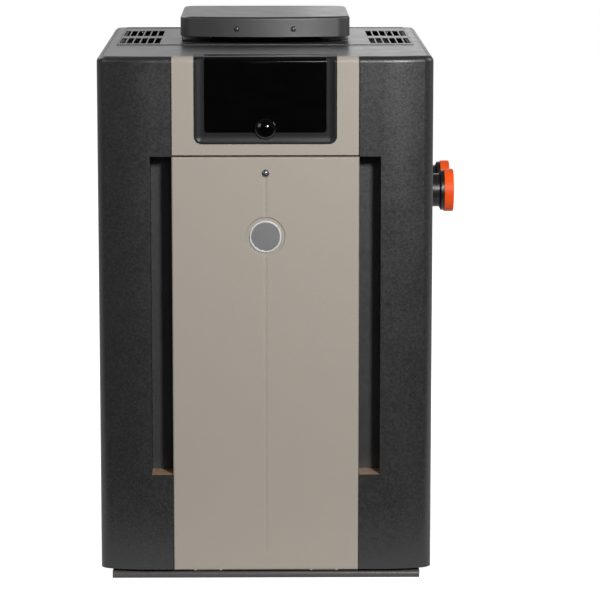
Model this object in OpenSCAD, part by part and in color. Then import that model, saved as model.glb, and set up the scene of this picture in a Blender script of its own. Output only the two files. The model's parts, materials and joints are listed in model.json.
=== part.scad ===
// Outdoor gas-fired pool heater.
// A sheet steel cabinet stands on a low base. The front faces -Y, the water pipes leave towards +X,
// and the origin is on the floor under the middle of the cabinet.

/* [Cabinet] */
// Width across the side faces
cab_w = 570; // [552:1:620]
// Depth from the door face to the rear face
cab_d = 700; // [690:1:780]
// Height of the top face above the floor
cab_h = 902; // [890:1:980]
// Thickness of the sheet steel
sheet = 1.5; // [1:0.1:2]
// Radius of the rolled edge round the top
roll_r = 10; // [7:0.5:11]
// Radius of the upright corners
corner_r = 22; // [16:1:30]
// Width of the flat strip of a front post, beside the door
post_flat = 40; // [2:1:50]
// Length of a front post along the side of the cabinet
post_wrap = 110; // [80:1:160]
// Width of the hidden lips that carry the top
lip = 8; // [6:0.5:9]
// Reach of the upright straps behind the panel seams
strap = 14; // [12:1:20]
// Gap between neighbouring panels
gap = 0.6; // [0.3:0.1:1]
// Width of a side panel's return round the rear corner
rear_return = 30; // [24:1:60]

/* [Base] */
// Height of the base, which is also the diameter of its rolled front edge
base_h = 13; // [12:1:24]
// Distance of the base in from the cabinet's sides and rear
base_inset = 20; // [10:1:24]
// Distance of the base's rolled edge behind the door face
base_front = 4; // [3:0.5:20]
// Width of the raised rails that carry the jacket
rail_w = 14; // [10:1:20]
// Height of the rails, which is the gap under the jacket
jacket_gap = 4; // [3:0.5:10]
// Width of the flanges that stand on the floor
floor_flange = 30; // [20:1:50]
// Length of an air slot in the deck
deck_slot_l = 60; // [40:1:80]
// Width of an air slot in the deck
deck_slot_w = 12; // [8:1:16]

/* [Door] */
// Width of the door
door_w = 318; // [300:1:340]
// Depth of the door's folded edges
door_depth = 20; // [16:1:22]
// Outer bend radius of the door's edges
door_bend = 3; // [2.2:0.1:5]
// Height of the door above the base
door_lift = 3; // [2.5:0.5:8]
// Height of the open seam above the door
seam_gap = 3; // [2:0.5:5]
// Width of each hook that hangs the door on the base
hook_w = 40; // [25:1:60]
// Distance of each hook from the middle of the door
hook_x = 100; // [60:1:110]
// Clearance between a hook and the rolled edge
hook_clear = 0.5; // [0.3:0.1:1]
// Width of the groove down the middle of the door
groove_w = 8; // [5:0.5:12]
// Depth of the groove
groove_d = 1; // [0.6:0.1:1.4]
// Distance of the groove's ends from the door's ends
groove_end = 33; // [20:1:60]
// Diameter of the dish round the badge
dish_d = 68; // [60:1:90]
// Depth of the dish
dish_depth = 2; // [1.2:0.1:3]
// Diameter of the blank badge
badge_d = 54; // [40:1:56]
// Thickness of the blank badge
badge_t = 2.4; // [1.5:0.1:4]
// Distance of the badge below the top of the door
badge_drop = 136; // [100:1:200]
// Distance of the door screw below the top of the door
screw_drop = 28; // [20:1:34]
// Shank diameter of the door screw
screw_d = 6; // [5:0.5:7]
// Head diameter of the door screw
screw_head_d = 13; // [11:0.5:16]

/* [Finger recess] */
// Width of the recess beside the door
grip_w = 36; // [30:1:50]
// Height of the recess
grip_h = 549; // [300:1:580]
// Depth of the recess
grip_depth = 52; // [35:1:60]
// Distance of the recess below the door's seam
grip_drop = 1; // [0.5:0.5:20]

/* [Control panel] */
// Height of the fascia above the door's seam
fascia_h = 168; // [160:1:190]
// Width of the control bezel
bezel_w = 241; // [236:1:270]
// Height of the control bezel
bezel_h = 147.5; // [144:0.5:152]
// Thickness of the control bezel
bezel_t = 14; // [12:0.5:18]
// Radius of the bezel's lower corners
bezel_r = 13; // [8:1:18]
// Reach of the bezel over the top of the cabinet
bezel_back = 58; // [58:1:70]
// Depth of the cove round the flap
bevel_d = 2; // [1:0.5:5]
// Width of the flat land outside the cove
bezel_land = 3; // [1:0.5:6]
// Width of the flap
flap_w = 205.4; // [190:0.2:208]
// Height of the flap
flap_h = 128; // [120:1:130]
// Thickness of the flap
flap_t = 3; // [2:0.2:4]
// Radius of the flap's lower corners
flap_r = 5; // [3:0.5:10]
// Clearance round the flap
flap_gap = 0.6; // [0.4:0.1:1]
// Clearance behind the flap's hinge, which lets it swing past upright
hinge_gap = 2; // [2:0.1:3]
// Distance of the flap's hinge behind the front face
hinge_back = 46; // [42:1:48]
// Radius of the flap's hinge knuckle
knuckle_r = 5; // [4:0.5:5.5]
// Radius of the hinge pins
pin_r = 2; // [1.5:0.1:2.5]
// Radial clearance of the hinge pins in the flap
pin_clear = 0.05; // [0.02:0.01:0.1]
// Radius of the domed flap pull
pull_r = 18; // [14:1:22]
// Height of the domed flap pull
pull_h = 8; // [5:0.5:12]
// Depth of the well behind the bezel
well_d = 14; // [10:1:20]
// Depth of the control housing behind the bezel
housing_d = 46; // [44:1:60]
// Width of the display
display_w = 92; // [70:1:110]
// Height of the display
display_h = 42; // [30:1:46]
// Diameter of a push button
button_d = 16; // [12:1:20]
// Distance between push buttons
button_pitch = 40; // [30:1:46]
// Radial clearance round a push button
button_clear = 0.4; // [0.3:0.1:0.8]
// Stand of a push button in front of the control face
button_proud = 3; // [2:0.5:5]
// Free travel behind a push button's stem
button_travel = 1.5; // [1:0.1:2]

/* [Top] */
// Depth of the plain band of the top behind the front face
front_band = 250; // [240:1:265]
// Width of the plain band at the sides and rear of the top
side_band = 23; // [23:1:30]
// Gap in front of and behind the slotted grille
grille_gap = 2; // [1:0.5:3]
// Height of the upturned edges along the front and rear of the grille
grille_lip = 1.4; // [1:0.1:3]
// Width of a slot
slot_w = 10.2; // [5:0.2:10.4]
// Distance between slots
slot_pitch = 12.4; // [11:0.1:12.6]
// Length of a slot
slot_l = 130; // [100:1:140]
// Slots in each bank
slot_n = 6; // [3:1:6]
// Distance of the first slots behind the grille's front edge
slot_front = 42; // [20:1:55]
// Distance between the front and rear banks
slot_row_gap = 46; // [20:1:50]
// Distance of the outer slots from the grille's side edge
slot_edge = 3; // [2.5:0.5:10]

/* [Flue] */
// Width of the flue cover
cover_w = 300; // [270:1:330]
// Depth of the flue cover
cover_d = 318; // [280:1:330]
// Height of the flue cover's skirt
cover_h = 35; // [30:1:50]
// Gap between the top and the flue cover's skirt
cover_gap = 14; // [10:1:25]
// Corner radius of the flue cover
cover_r = 30; // [20:1:45]
// Radius of the flue cover's rolled edge
cover_roll = 4.5; // [4:0.5:12]
// Distance of the flue's centre behind the middle of the cabinet
flue_y = 62; // [50:1:80]
// Width of the flue collar
collar_w = 200; // [160:1:240]
// Depth of the flue collar
collar_d = 180; // [150:1:220]
// Height of the flue collar's rim above the top
collar_rim = 6; // [3:0.5:10]
// Length of the flue collar below the top
collar_drop = 70; // [50:1:100]
// Distance of the cover's legs before and behind the flue's centre
leg_y = 60; // [30:1:75]
// Width of a cover leg
leg_w = 20; // [12:1:30]
// Distance of the cover's front screws from its middle
cover_screw_x = 50; // [30:1:80]

/* [Heat exchanger] */
// Width of the combustion chamber
chamber_w = 428; // [410:1:430]
// Depth of the combustion chamber
chamber_d = 400; // [394:1:420]
// Distance of the chamber's centre behind the middle of the cabinet
chamber_y = 112; // [100:1:118]
// Height of the water pipes above the floor
port_z = 627; // [600:1:660]
// Height of the tube bundle's frame
bundle_h = 104; // [100:1:112]
// Number of finned tubes
tube_n = 8; // [6:1:8]
// Distance between finned tubes
tube_pitch = 46; // [43:0.5:48]
// Outer diameter of a tube
tube_d = 22; // [18:0.5:24]
// Wall of a tube
tube_wall = 1.5; // [1:0.1:2]
// Diameter of a fin
fin_d = 40; // [36:0.5:42]
// Thickness of a fin
fin_t = 2; // [1:0.2:3]
// Distance between fins
fin_pitch = 12; // [9:0.5:20]
// Radial clearance of a tube in its sheet
tube_clear = 0.05; // [0.02:0.01:0.1]
// Thickness of a tube sheet
tube_sheet_t = 8; // [6:0.5:10]
// Thickness of a header gasket
gasket_t = 2; // [1:0.5:3]
// Thickness of a header's flange
flange_t = 10; // [8:0.5:12]
// Depth of a header behind its flange
header_d = 38; // [32:1:40]
// Wall of a header
header_wall = 10; // [7:0.5:12]
// Bolts along each edge of a header
bolt_n = 6; // [4:1:8]
// Shank diameter of a header bolt
bolt_d = 8; // [6:0.5:9]

/* [Water pipes] */
// Outer diameter of a water pipe
pipe_d = 60.3; // [48:0.1:64]
// Wall of a water pipe
pipe_wall = 4; // [3:0.5:6]
// Distance between the water pipes
port_gap = 134; // [120:1:150]
// Reach of a water pipe beyond the side face
pipe_reach = 54; // [50:1:90]
// Outer diameter of the socket at a pipe's end
socket_d = 73; // [70:0.5:78]
// Length of the socket
socket_l = 20; // [18:1:40]
// Radial clearance for a pipe inside the socket
socket_clear = 0.15; // [0.05:0.05:0.3]
// Outer diameter of a protective cap
cap_d = 77; // [76:0.5:86]
// Length of a protective cap over its socket
cap_l = 14; // [12:1:24]
// Thickness of a protective cap's end
cap_end = 2.5; // [1.5:0.5:4]
// Radial clearance of a cap on its socket
cap_clear = 0.1; // [0.05:0.05:0.3]
// Radius of a pipe hole in the side panel
pipe_hole_r = 36; // [35:0.5:42]

/* [Gas and burners] */
// Height of the top of the burner tray
tray_z = 150; // [140:1:170]
// Height of the burner tray's floor
tray_floor = 60; // [50:1:70]
// Height of the burners and the gas manifold
burner_z = 105; // [98:1:112]
// Diameter of a burner
burner_d = 30; // [24:1:34]
// Number of burners
burner_n = 8; // [5:1:8]
// Distance between burners
burner_pitch = 44; // [42:0.5:46]
// Thickness of the refractory panels
refractory_t = 25; // [15:1:35]
// Diameter of the gas manifold
manifold_d = 26; // [20:1:30]
// Distance of the manifold in front of the chamber
manifold_front = 60; // [50:1:80]
// Distance of the gas valve left of the middle
valve_x = 95; // [85:1:110]
// Width of the gas valve
valve_w = 90; // [70:1:100]
// Depth of the gas valve
valve_d = 66; // [50:1:76]
// Height of the gas valve
valve_h = 72; // [60:1:90]
// Length of the nipple between the manifold and the valve
nipple_l = 50; // [40:1:80]
// Outer diameter of the gas pipe
gas_pipe_d = 26.7; // [20:0.1:28]
// Outer diameter of the gas coupling
coupling_d = 36; // [34:1:42]
// Radius of the thread in the gas coupling
coupling_r = 12.6; // [10:0.1:13]
// Depth of the thread in the gas coupling
coupling_l = 18; // [14:1:24]
// Radius of the gas hole in the side panel
gas_hole_r = 24; // [22:0.5:30]

/* [Wiring] */
// Radius of the conduit hole in the side panel
conduit_r = 11.1; // [8:0.1:14]
// Height of the conduit hole
conduit_z = 330; // [250:1:420]
// Distance of the conduit hole behind the front post
conduit_back = 70; // [62:1:100]
// Width and height of the junction box
box_w = 96; // [80:1:110]
// Depth of the junction box
box_d = 48; // [36:1:52]
// Diameter of the wiring loom
loom_d = 8; // [5:0.5:10]
// Width of the transformer
transformer_w = 58; // [46:1:66]
// Depth of the transformer
transformer_d = 46; // [36:1:56]
// Height of the transformer
transformer_h = 50; // [40:1:56]
// Width of the ignition module
module_w = 96; // [80:1:108]
// Depth of the ignition module
module_d = 56; // [44:1:64]
// Height of the ignition module
module_h = 30; // [24:1:40]

/* [Hidden] */

$fn = 64;
// Fragments for the shallow front bow
bow_fn = 360;
// Small overlap that carries a cut through a face
cut = 1;

// Faces of the cabinet
yf = -cab_d / 2;
yr = cab_d / 2;
side_x = cab_w / 2;
jacket_z0 = base_h + jacket_gap;
wall_top = cab_h - roll_r;

// Base
base_x = side_x - base_inset;
base_y0 = yf + base_front;
base_y1 = yr - base_inset;
rail_in = 2;
foot = base_inset + rail_in + rail_w;
edge_r = base_h / 2;
edge_y = base_y0 + edge_r;

// Door and fascia
seam_z = cab_h - fascia_h;
door_z0 = base_h + door_lift;
door_z1 = seam_z - seam_gap / 2;
door_h = door_z1 - door_z0;
fascia_z0 = seam_z + seam_gap / 2;
badge_z = door_z1 - badge_drop;
screw_z = door_z1 - screw_drop;
screw_clear = 0.3;
hook_r = edge_r + hook_clear;

// Front posts: a flat edge, a bow tangent to it, then a round corner.
// The bow turns by an angle with a round sine and cosine, so its ends land on round figures.
post_x0 = door_w / 2 + gap;
post_x1 = side_x - corner_r;
bow_sin = 0.28;
bow_cos = 0.96;
bow_angle = asin(bow_sin);
bow_step = 5;
bow_len = floor((post_x1 - post_x0 - post_flat) / bow_sin / bow_step) * bow_step;
bow_rad = bow_len + corner_r;
bow_x = post_x1 - bow_len * bow_sin;
bow_y = yf + bow_rad;
corner_y = bow_y - bow_len * bow_cos;
post_y1 = yf + post_wrap;
jamb_tail = 20;
jamb_d = grip_depth + jamb_tail;
grip_z1 = seam_z - grip_drop;
grip_z0 = grip_z1 - grip_h;
rear_seam_x = post_x1 - rear_return;

// Cross rail behind the door's seam
cross_y = yf + door_depth + 6;
cross_h = 46;
cross_z0 = fascia_z0 - cross_h;
cross_top_d = 20;
shelf_d = 80;

// Control panel
bezel_z0 = cab_h - bezel_h;
flap_z0 = cab_h - flap_h;
hinge_y = yf + hinge_back;
hinge_z = cab_h - knuckle_r;
pin_in = 12;
pin_out = 9;
bezel_flange = 8;
bezel_flange_t = 2.5;
pull_gap = 0.5;
pull_z = flap_z0 + 6;
bezel_y1 = yf + bezel_t;
housing_w = flap_w + 18;
housing_z0 = flap_z0 - 8;
housing_z1 = cab_h - bezel_t - 6;
housing_wall = 3;
face_y = bezel_y1 + well_d;
face_t = 3;
well_x = flap_w / 2 - 2;
well_z0 = flap_z0 + 2;
well_z1 = housing_z1 - housing_wall;
display_z = well_z1 - display_h / 2 - 8;
button_z = well_z0 + button_d / 2 + 10;
display_rim = 3;
board_y = face_y + face_t + 13;
board_t = 1.6;
button_lip = 2.5;
button_lip_t = 2;

// Top
grille_x = side_x - side_band;
grille_y0 = yf + front_band;
grille_y1 = yr - side_band;
ring_out = side_band - roll_r - lip - 2;

// Flue
cover_z0 = cab_h + cover_gap;

// Plan of the flue cover: its front has a flat middle, a bow on each side, then round corners
cover_x = cover_w / 2 - cover_r;
cover_back_y = cover_d / 2 - cover_r;
cover_flat = 2;
cover_bow_len = floor((cover_x - cover_flat) / bow_sin / bow_step) * bow_step;
cover_bow_rad = cover_bow_len + cover_r;
cover_bow_x = cover_x - cover_bow_len * bow_sin;
cover_bow_y = cover_bow_rad - cover_d / 2;
cover_front_y = cover_bow_y - cover_bow_len * bow_cos;
cover_strip = cover_bow_rad - cover_bow_len * bow_cos + 2 * cut;
cover_screw_angle = asin((cover_screw_x - cover_bow_x) / cover_bow_rad);
cover_screw_z = 0.4 * cover_h;
collar_z0 = cab_h - collar_drop;
collar_flange = 12;

// Combustion chamber and heat exchanger
chamber_x = chamber_w / 2;
chamber_y0 = chamber_y - chamber_d / 2;
chamber_y1 = chamber_y + chamber_d / 2;
bundle_z0 = port_z - bundle_h / 2;
bundle_z1 = port_z + bundle_h / 2;
header_x0 = chamber_x + gasket_t;
header_x1 = header_x0 + flange_t;
header_x2 = header_x1 + header_d;
flange_y = chamber_d / 2 - 4;
flange_z = bundle_h / 2 - 2;
header_y = chamber_d / 2 - 18;
header_z = bundle_h / 2 - 16;
bolt_z = (flange_z + header_z) / 2;
bolt_clear = 0.2;
fitting_x = (header_x1 + header_x2) / 2;

// Water pipes
pipe_r = pipe_d / 2;
pipe_fit = 0.05;
port_y = [chamber_y - port_gap / 2, chamber_y + port_gap / 2];
pipe_x1 = side_x + pipe_reach;
socket_x0 = pipe_x1 - socket_l;

// Gas train
manifold_y = chamber_y0 - manifold_front;
manifold_boss_h = 17;
nipple_z0 = burner_z + manifold_boss_h;
valve_z0 = nipple_z0 + nipple_l;
valve_boss = 8;
valve_spigot = 14;
coil_r = 15;
coil_h = 30;
coil_tip = 4;
valve_inlet_x = -valve_x - valve_w / 2 - valve_spigot;
gas_z = valve_z0 + valve_boss + valve_h / 2;
gas_end_x = -side_x + sheet + 6;
knob_gap = 0.5;
knob_h = 18;
knob_r = 16;
spindle_r = 4;
spindle_clear = 0.05;
spindle_l = 9;
knob_y = manifold_y - valve_d / 2;

// Junction box
box_y = post_y1 + conduit_back;
box_wall = 1.5;

// Panel screws
panel_screw_r = 2.1;
panel_screw_clear = 0.2;
panel_screw_head = 5;
panel_screw_in = 90;
panel_screw_z = [jacket_z0 + panel_screw_in, (jacket_z0 + cab_h) / 2, cab_h - panel_screw_in];
side_screw_y = post_y1 + gap + strap / 2 - 1;
rear_screw_x = rear_seam_x - gap - strap / 2 + 1;

// Pieces on the shelf of the cross rail
shelf_y = cross_y + shelf_d / 2;
shelf_z = cross_z0 + sheet;
shelf_gap = 5;
module_lug = 8;
transformer_x = 70;
module_x = transformer_x - transformer_w / 2 - shelf_gap - module_lug - module_w / 2;
nut_l = 14;
module_y = cross_y + nut_l + shelf_gap + module_d / 2;
mount_t = 3;

// Route of the wiring loom, from the gas valve up to the shelf of the cross rail
loom_z0 = valve_z0 + valve_boss + valve_h + coil_h + coil_tip;
loom_end_l = 40;
loom_bend_l = 70;
loom_aside = 20;
loom_ahead = 30;
loom_x1 = -valve_x - loom_aside;
loom_z1 = loom_z0 + loom_end_l;
loom_z2 = cross_z0 - loom_end_l;
loom = [[-valve_x, manifold_y, loom_z0], [-valve_x, manifold_y, loom_z1],
    [loom_x1, manifold_y - loom_ahead, loom_z1 + loom_bend_l],
    [loom_x1, shelf_y, loom_z2 - loom_bend_l], [-valve_x, shelf_y, loom_z2],
    [-valve_x, shelf_y, cross_z0]];

painted = "#4b4c50";
taupe = "#9a9288";
steel = "#a9abad";
black = "#1b1b1d";
copper = "#b06a45";
brass = "#b59a55";
cast = "#5b5d60";
ceramic = "#e6e0d2";

// Shapes that repeat

// Runs a profile, drawn outwards along X, from y0 to y1
module along_y(y0, y1)
    translate([0, y1, 0]) rotate([90, 0, 0]) linear_extrude(y1 - y0) children();

// Extrudes an outline drawn in X and Z, from y0 to y1
module upright(y0, y1)
    translate([0, y1, 0]) rotate([90, 0, 0]) linear_extrude(y1 - y0) children();

// Extrudes an outline drawn in Y and Z, from x0 to x1
module sideways(x0, x1)
    translate([x0, 0, 0]) rotate([90, 0, 90]) linear_extrude(x1 - x0) children();

// A box from its low corner to its high corner
module span(low, high)
    translate(low) cube(high - low);

// A cylinder along X, Y or Z from a start point
module rod_x(p, r, l) translate(p) rotate([0, 90, 0]) cylinder(r = r, h = l);
module rod_y(p, r, l) translate(p) rotate([-90, 0, 0]) cylinder(r = r, h = l);
module rod_z(p, r, l) translate(p) cylinder(r = r, h = l);

// A rectangle with round corners, centred
module round_rect(w, h, r) {
    square([w - 2 * r, h], center = true);
    square([w, h - 2 * r], center = true);
    for (x = [-1, 1], y = [-1, 1])
        translate([x * (w / 2 - r), y * (h / 2 - r)]) circle(r = r);
}

// A slab whose front edges are round, standing on z = 0 with its face at y = 0
module round_front(w, d, r) {
    translate([-w / 2, r]) square([w, d - r]);
    translate([-w / 2 + r, 0]) square([w - 2 * r, d]);
    for (s = [-1, 1])
        translate([s * (w / 2 - r), r]) circle(r = r);
}
module soft_slab(w, h, d, r)
    intersection() {
        linear_extrude(h) round_front(w, d, r);
        translate([0, 0, h / 2]) sideways(-w / 2 - cut, w / 2 + cut)
            mirror([1, -1]) round_front(h, d, r);
    }

// An outline with round lower corners that runs up past the top of the cabinet
module u_outline(w, z0, r) {
    translate([-w / 2, z0 + r]) square([w, cab_h + cut - z0 - r]);
    translate([-w / 2 + r, z0]) square([w - 2 * r, 2 * r]);
    for (s = [-1, 1])
        translate([s * (w / 2 - r), z0 + r]) circle(r = r);
}

// Cross-section of a jacket wall: bottom flange, upright, rolled top edge and lip
module wall_profile(z0, flange) {
    translate([-sheet, z0]) square([sheet, wall_top - z0]);
    translate([-flange, z0]) square([flange, sheet]);
    rolled_edge(roll_r, cab_h);
    translate([-roll_r - lip, cab_h - 2 * sheet]) square([lip + 0.3 * roll_r, sheet]);
}

// A quarter turn of sheet whose outer face ends at x = 0 and at the height top
module rolled_edge(r, top)
    translate([-r, top - r]) intersection() {
        difference() {
            circle(r = r);
            circle(r = r - sheet);
        }
        square(r);
    }

// A jacket wall turned a quarter round an upright corner
module corner_sweep()
    rotate_extrude(angle = 90) intersection() {
        translate([corner_r, 0]) wall_profile(jacket_z0, foot);
        square([2 * corner_r, 2 * cab_h]);
    }

// Everything beyond the line where a bow runs into the corner centred at x and y
module beyond_bow(x, y)
    translate([x, y, -cut]) rotate([0, 0, bow_angle]) translate([0, -cab_d, 0])
        cube([cab_d, 2 * cab_d, 2 * cab_h]);

// Plan of the cabinet, drawn in from its outer face
module cabinet_plan(inset) {
    bow_in = bow_rad - inset;
    t1 = [bow_x + bow_in * bow_sin, bow_y - bow_in * bow_cos];
    x1 = side_x - inset;
    far = 50;
    difference() {
        intersection() {
            translate([-x1, yf + inset]) square([2 * x1, cab_d - 2 * inset]);
            union() {
                for (s = [-1, 1])
                    translate([s * bow_x, bow_y]) circle(r = bow_in, $fn = bow_fn);
                translate([-bow_x, yf + inset]) square([2 * bow_x, cab_d]);
                translate([-side_x, bow_y]) square([cab_w, cab_d]);
            }
        }
        for (s = [0, 1]) mirror([s, 0]) {
            polygon([t1, [t1[0], yf - far], [x1 + far, yf - far], [x1 + far, corner_y],
                [x1, corner_y]]);
            polygon([[x1, yr - corner_r], [x1 + far, yr - corner_r], [x1 + far, yr + far],
                [post_x1, yr + far], [post_x1, yr - inset]]);
        }
    }
    for (s = [-1, 1], y = [corner_y, yr - corner_r])
        translate([s * post_x1, y]) circle(r = corner_r - inset);
}

// Places a copy on each side of the cabinet
module both_sides() {
    children();
    mirror([1, 0, 0]) children();
}

// Cabinet

module base_pan() color(painted) {
    slot_y0 = edge_y + 0.2 * edge_r;
    slot_y1 = edge_y + hook_r + 2 * sheet + 1;
    slot_side = 4;
    deck_slots = 4;
    deck_rows = 2;
    difference() {
        union() {
            span([-base_x, edge_y, base_h - sheet], [base_x, base_y1, base_h]);
            both_sides() {
                span([base_x - sheet, edge_y, 0], [base_x, base_y1, base_h]);
                span([base_x - floor_flange, edge_y + edge_r, 0], [base_x, base_y1, sheet]);
                span([base_x - rail_in - rail_w, edge_y + 2 * edge_r, base_h - sheet / 2],
                    [base_x - rail_in, base_y1 - rail_in, jacket_z0]);
            }
            span([-base_x, base_y1 - sheet, 0], [base_x, base_y1, base_h]);
            span([-base_x, base_y1 - floor_flange, 0], [base_x, base_y1, sheet]);
            span([-base_x + rail_in, base_y1 - rail_in - rail_w, base_h - sheet / 2],
                [base_x - rail_in, base_y1 - rail_in, jacket_z0]);
            rod_x([-base_x, edge_y, edge_r], edge_r, 2 * base_x);
            span([-base_x, -floor_flange / 2, 0], [base_x, floor_flange / 2, sheet]);
            for (y = [-floor_flange / 2, floor_flange / 2 - sheet])
                span([-base_x, y, 0], [base_x, y + sheet, base_h]);
        }
        rod_x([-base_x - cut, edge_y, edge_r], edge_r - sheet, 2 * base_x + 2 * cut);
        for (s = [-1, 1])
            span([s * hook_x - hook_w / 2 - slot_side, slot_y0, base_h - sheet - cut],
                [s * hook_x + hook_w / 2 + slot_side, slot_y1, base_h + cut]);
        for (i = [0 : deck_slots - 1], row = [0 : deck_rows - 1])
            translate([(i - (deck_slots - 1) / 2) * 1.5 * deck_slot_l,
                chamber_y + (row - (deck_rows - 1) / 2) * 6 * deck_slot_w, base_h - sheet - cut])
                linear_extrude(sheet + 2 * cut)
                    round_rect(deck_slot_l, deck_slot_w, deck_slot_w / 2 - 0.1);
    }
}

// Right-hand front post: bowed face, round corner, side wall, jamb and finger recess
module corner_post() {
    difference() {
        union() {
            translate([0, yf, 0]) rotate([0, 0, -90]) along_y(post_x0, bow_x)
                wall_profile(jacket_z0, foot);
            difference() {
                translate([bow_x, bow_y, 0]) rotate([0, 0, -90])
                    rotate_extrude(angle = 2 * bow_angle, $fn = bow_fn)
                        translate([bow_rad, 0]) wall_profile(jacket_z0, foot);
                beyond_bow(post_x1, corner_y);
            }
            intersection() {
                translate([post_x1, corner_y, 0]) rotate([0, 0, -90]) corner_sweep();
                beyond_bow(post_x1, corner_y);
            }
            translate([side_x, 0, 0]) along_y(corner_y, post_y1) wall_profile(jacket_z0, foot);
            span([post_x0, yf + sheet / 2, jacket_z0], [post_x0 + sheet, yf + jamb_d, wall_top]);
            span([side_x - 2 * sheet, post_y1 - strap / 2, jacket_z0 + 2 * sheet],
                [side_x - sheet, post_y1 + strap, wall_top - sheet]);
        }
        span([post_x0 - cut, yf - cut, grip_z0], [post_x0 + grip_w, yf + grip_depth, grip_z1]);
        side_screw_holes();
    }
    intersection() {
        difference() {
            span([post_x0, yf - cut, grip_z0 - sheet],
                [post_x0 + grip_w + sheet, yf + grip_depth + sheet, grip_z1 + sheet]);
            span([post_x0 - cut, yf - 2 * cut, grip_z0], [post_x0 + grip_w, yf + grip_depth, grip_z1]);
        }
        union() {
            translate([bow_x, bow_y, 0])
                cylinder(r = bow_rad - 0.4 * sheet, h = cab_h, $fn = bow_fn);
            span([post_x0 - cut, yf + 0.4 * sheet, 0], [bow_x, bow_y, cab_h]);
        }
    }
}
module right_corner_post() color(painted) corner_post();
module left_corner_post() color(painted) mirror([1, 0, 0]) corner_post();

module side_screw_holes()
    for (z = panel_screw_z)
        rod_x([side_x - 3 * sheet, side_screw_y, z], panel_screw_r + panel_screw_clear, 4 * sheet);

module rear_screw_holes()
    for (z = panel_screw_z)
        rod_y([rear_screw_x, yr - 3 * sheet, z], panel_screw_r + panel_screw_clear, 4 * sheet);

// Right-hand side panel with its rear corner and the strap for the rear panel
module side_panel()
    difference() {
        union() {
            translate([side_x, 0, 0]) along_y(post_y1 + gap, yr - corner_r)
                wall_profile(jacket_z0, foot);
            translate([post_x1, yr - corner_r, 0]) corner_sweep();
            translate([post_x1, yr, 0]) rotate([0, 0, 90]) along_y(0, rear_return)
                wall_profile(jacket_z0, foot);
            span([rear_seam_x - strap, yr - 2 * sheet, jacket_z0 + 2 * sheet],
                [rear_seam_x + strap / 2, yr - sheet, wall_top - sheet]);
        }
        side_screw_holes();
        rear_screw_holes();
    }

module right_side_panel() color(painted)
    difference() {
        side_panel();
        for (y = port_y)
            rod_x([side_x - 2 * sheet, y, port_z], pipe_hole_r, 4 * sheet);
        rod_x([side_x - 2 * sheet, box_y, conduit_z], conduit_r, 4 * sheet);
    }

module left_side_panel() color(painted)
    difference() {
        mirror([1, 0, 0]) side_panel();
        rod_x([-side_x - 2 * sheet, manifold_y, gas_z], gas_hole_r, 4 * sheet);
    }

module rear_panel() color(painted)
    difference() {
        translate([0, yr, 0]) rotate([0, 0, 90])
            along_y(-rear_seam_x + gap, rear_seam_x - gap) wall_profile(jacket_z0, foot);
        both_sides() rear_screw_holes();
    }

module panel_screw() {
    rise = panel_screw_head / 2;
    dome = (panel_screw_head * panel_screw_head + rise * rise) / (2 * rise);
    translate([0, 0, -4 * sheet]) cylinder(r = panel_screw_r, h = 4 * sheet + rise / 2);
    intersection() {
        translate([0, 0, rise - dome]) sphere(r = dome);
        cylinder(r = panel_screw_head, h = 2 * rise);
    }
}
module panel_screws() color(painted) {
    both_sides() for (z = panel_screw_z) {
        translate([side_x, side_screw_y, z]) rotate([0, 90, 0]) panel_screw();
        translate([rear_screw_x, yr, z]) rotate([-90, 0, 0]) panel_screw();
    }
    both_sides() translate([0, flue_y, cover_z0]) at_cover_screw()
        rotate([90, 0, 0]) panel_screw();
}

module jacket_top() color(painted) {
    translate([0, 0, cab_h - sheet]) linear_extrude(sheet) difference() {
        cabinet_plan(roll_r + gap);
        translate([-bezel_w / 2 - gap, yf - cut]) square([bezel_w + 2 * gap, bezel_back + gap + cut]);
        translate([-grille_x, grille_y0]) square([2 * grille_x, grille_y1 - grille_y0]);
    }
    difference() {
        span([-grille_x - ring_out, grille_y0 - ring_out, cab_h - 2 * sheet],
            [grille_x + ring_out, grille_y1 + ring_out, cab_h - sheet]);
        span([-grille_x + lip, grille_y0 + lip, cab_h - 3 * sheet],
            [grille_x - lip, grille_y1 - lip, cab_h]);
    }
}

module top_grille() color(painted)
    difference() {
        union() {
            span([-grille_x + gap, grille_y0 + grille_gap, cab_h - sheet],
                [grille_x - gap, grille_y1 - grille_gap, cab_h]);
            for (y = [grille_y0 + grille_gap, grille_y1 - grille_gap - sheet])
                span([-grille_x + gap, y, cab_h - sheet],
                    [grille_x - gap, y + sheet, cab_h + grille_lip]);
        }
        both_sides() for (i = [0 : slot_n - 1], row = [0, 1])
            translate([grille_x - slot_edge - slot_w - i * slot_pitch,
                grille_y0 + slot_front + row * (slot_l + slot_row_gap), cab_h - 2 * sheet])
                cube([slot_w, slot_l, 4 * sheet]);
        translate([0, flue_y, cab_h]) cube([collar_w + 2 * gap, collar_d + 2 * gap, 6 * sheet], true);
    }

// Front

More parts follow.
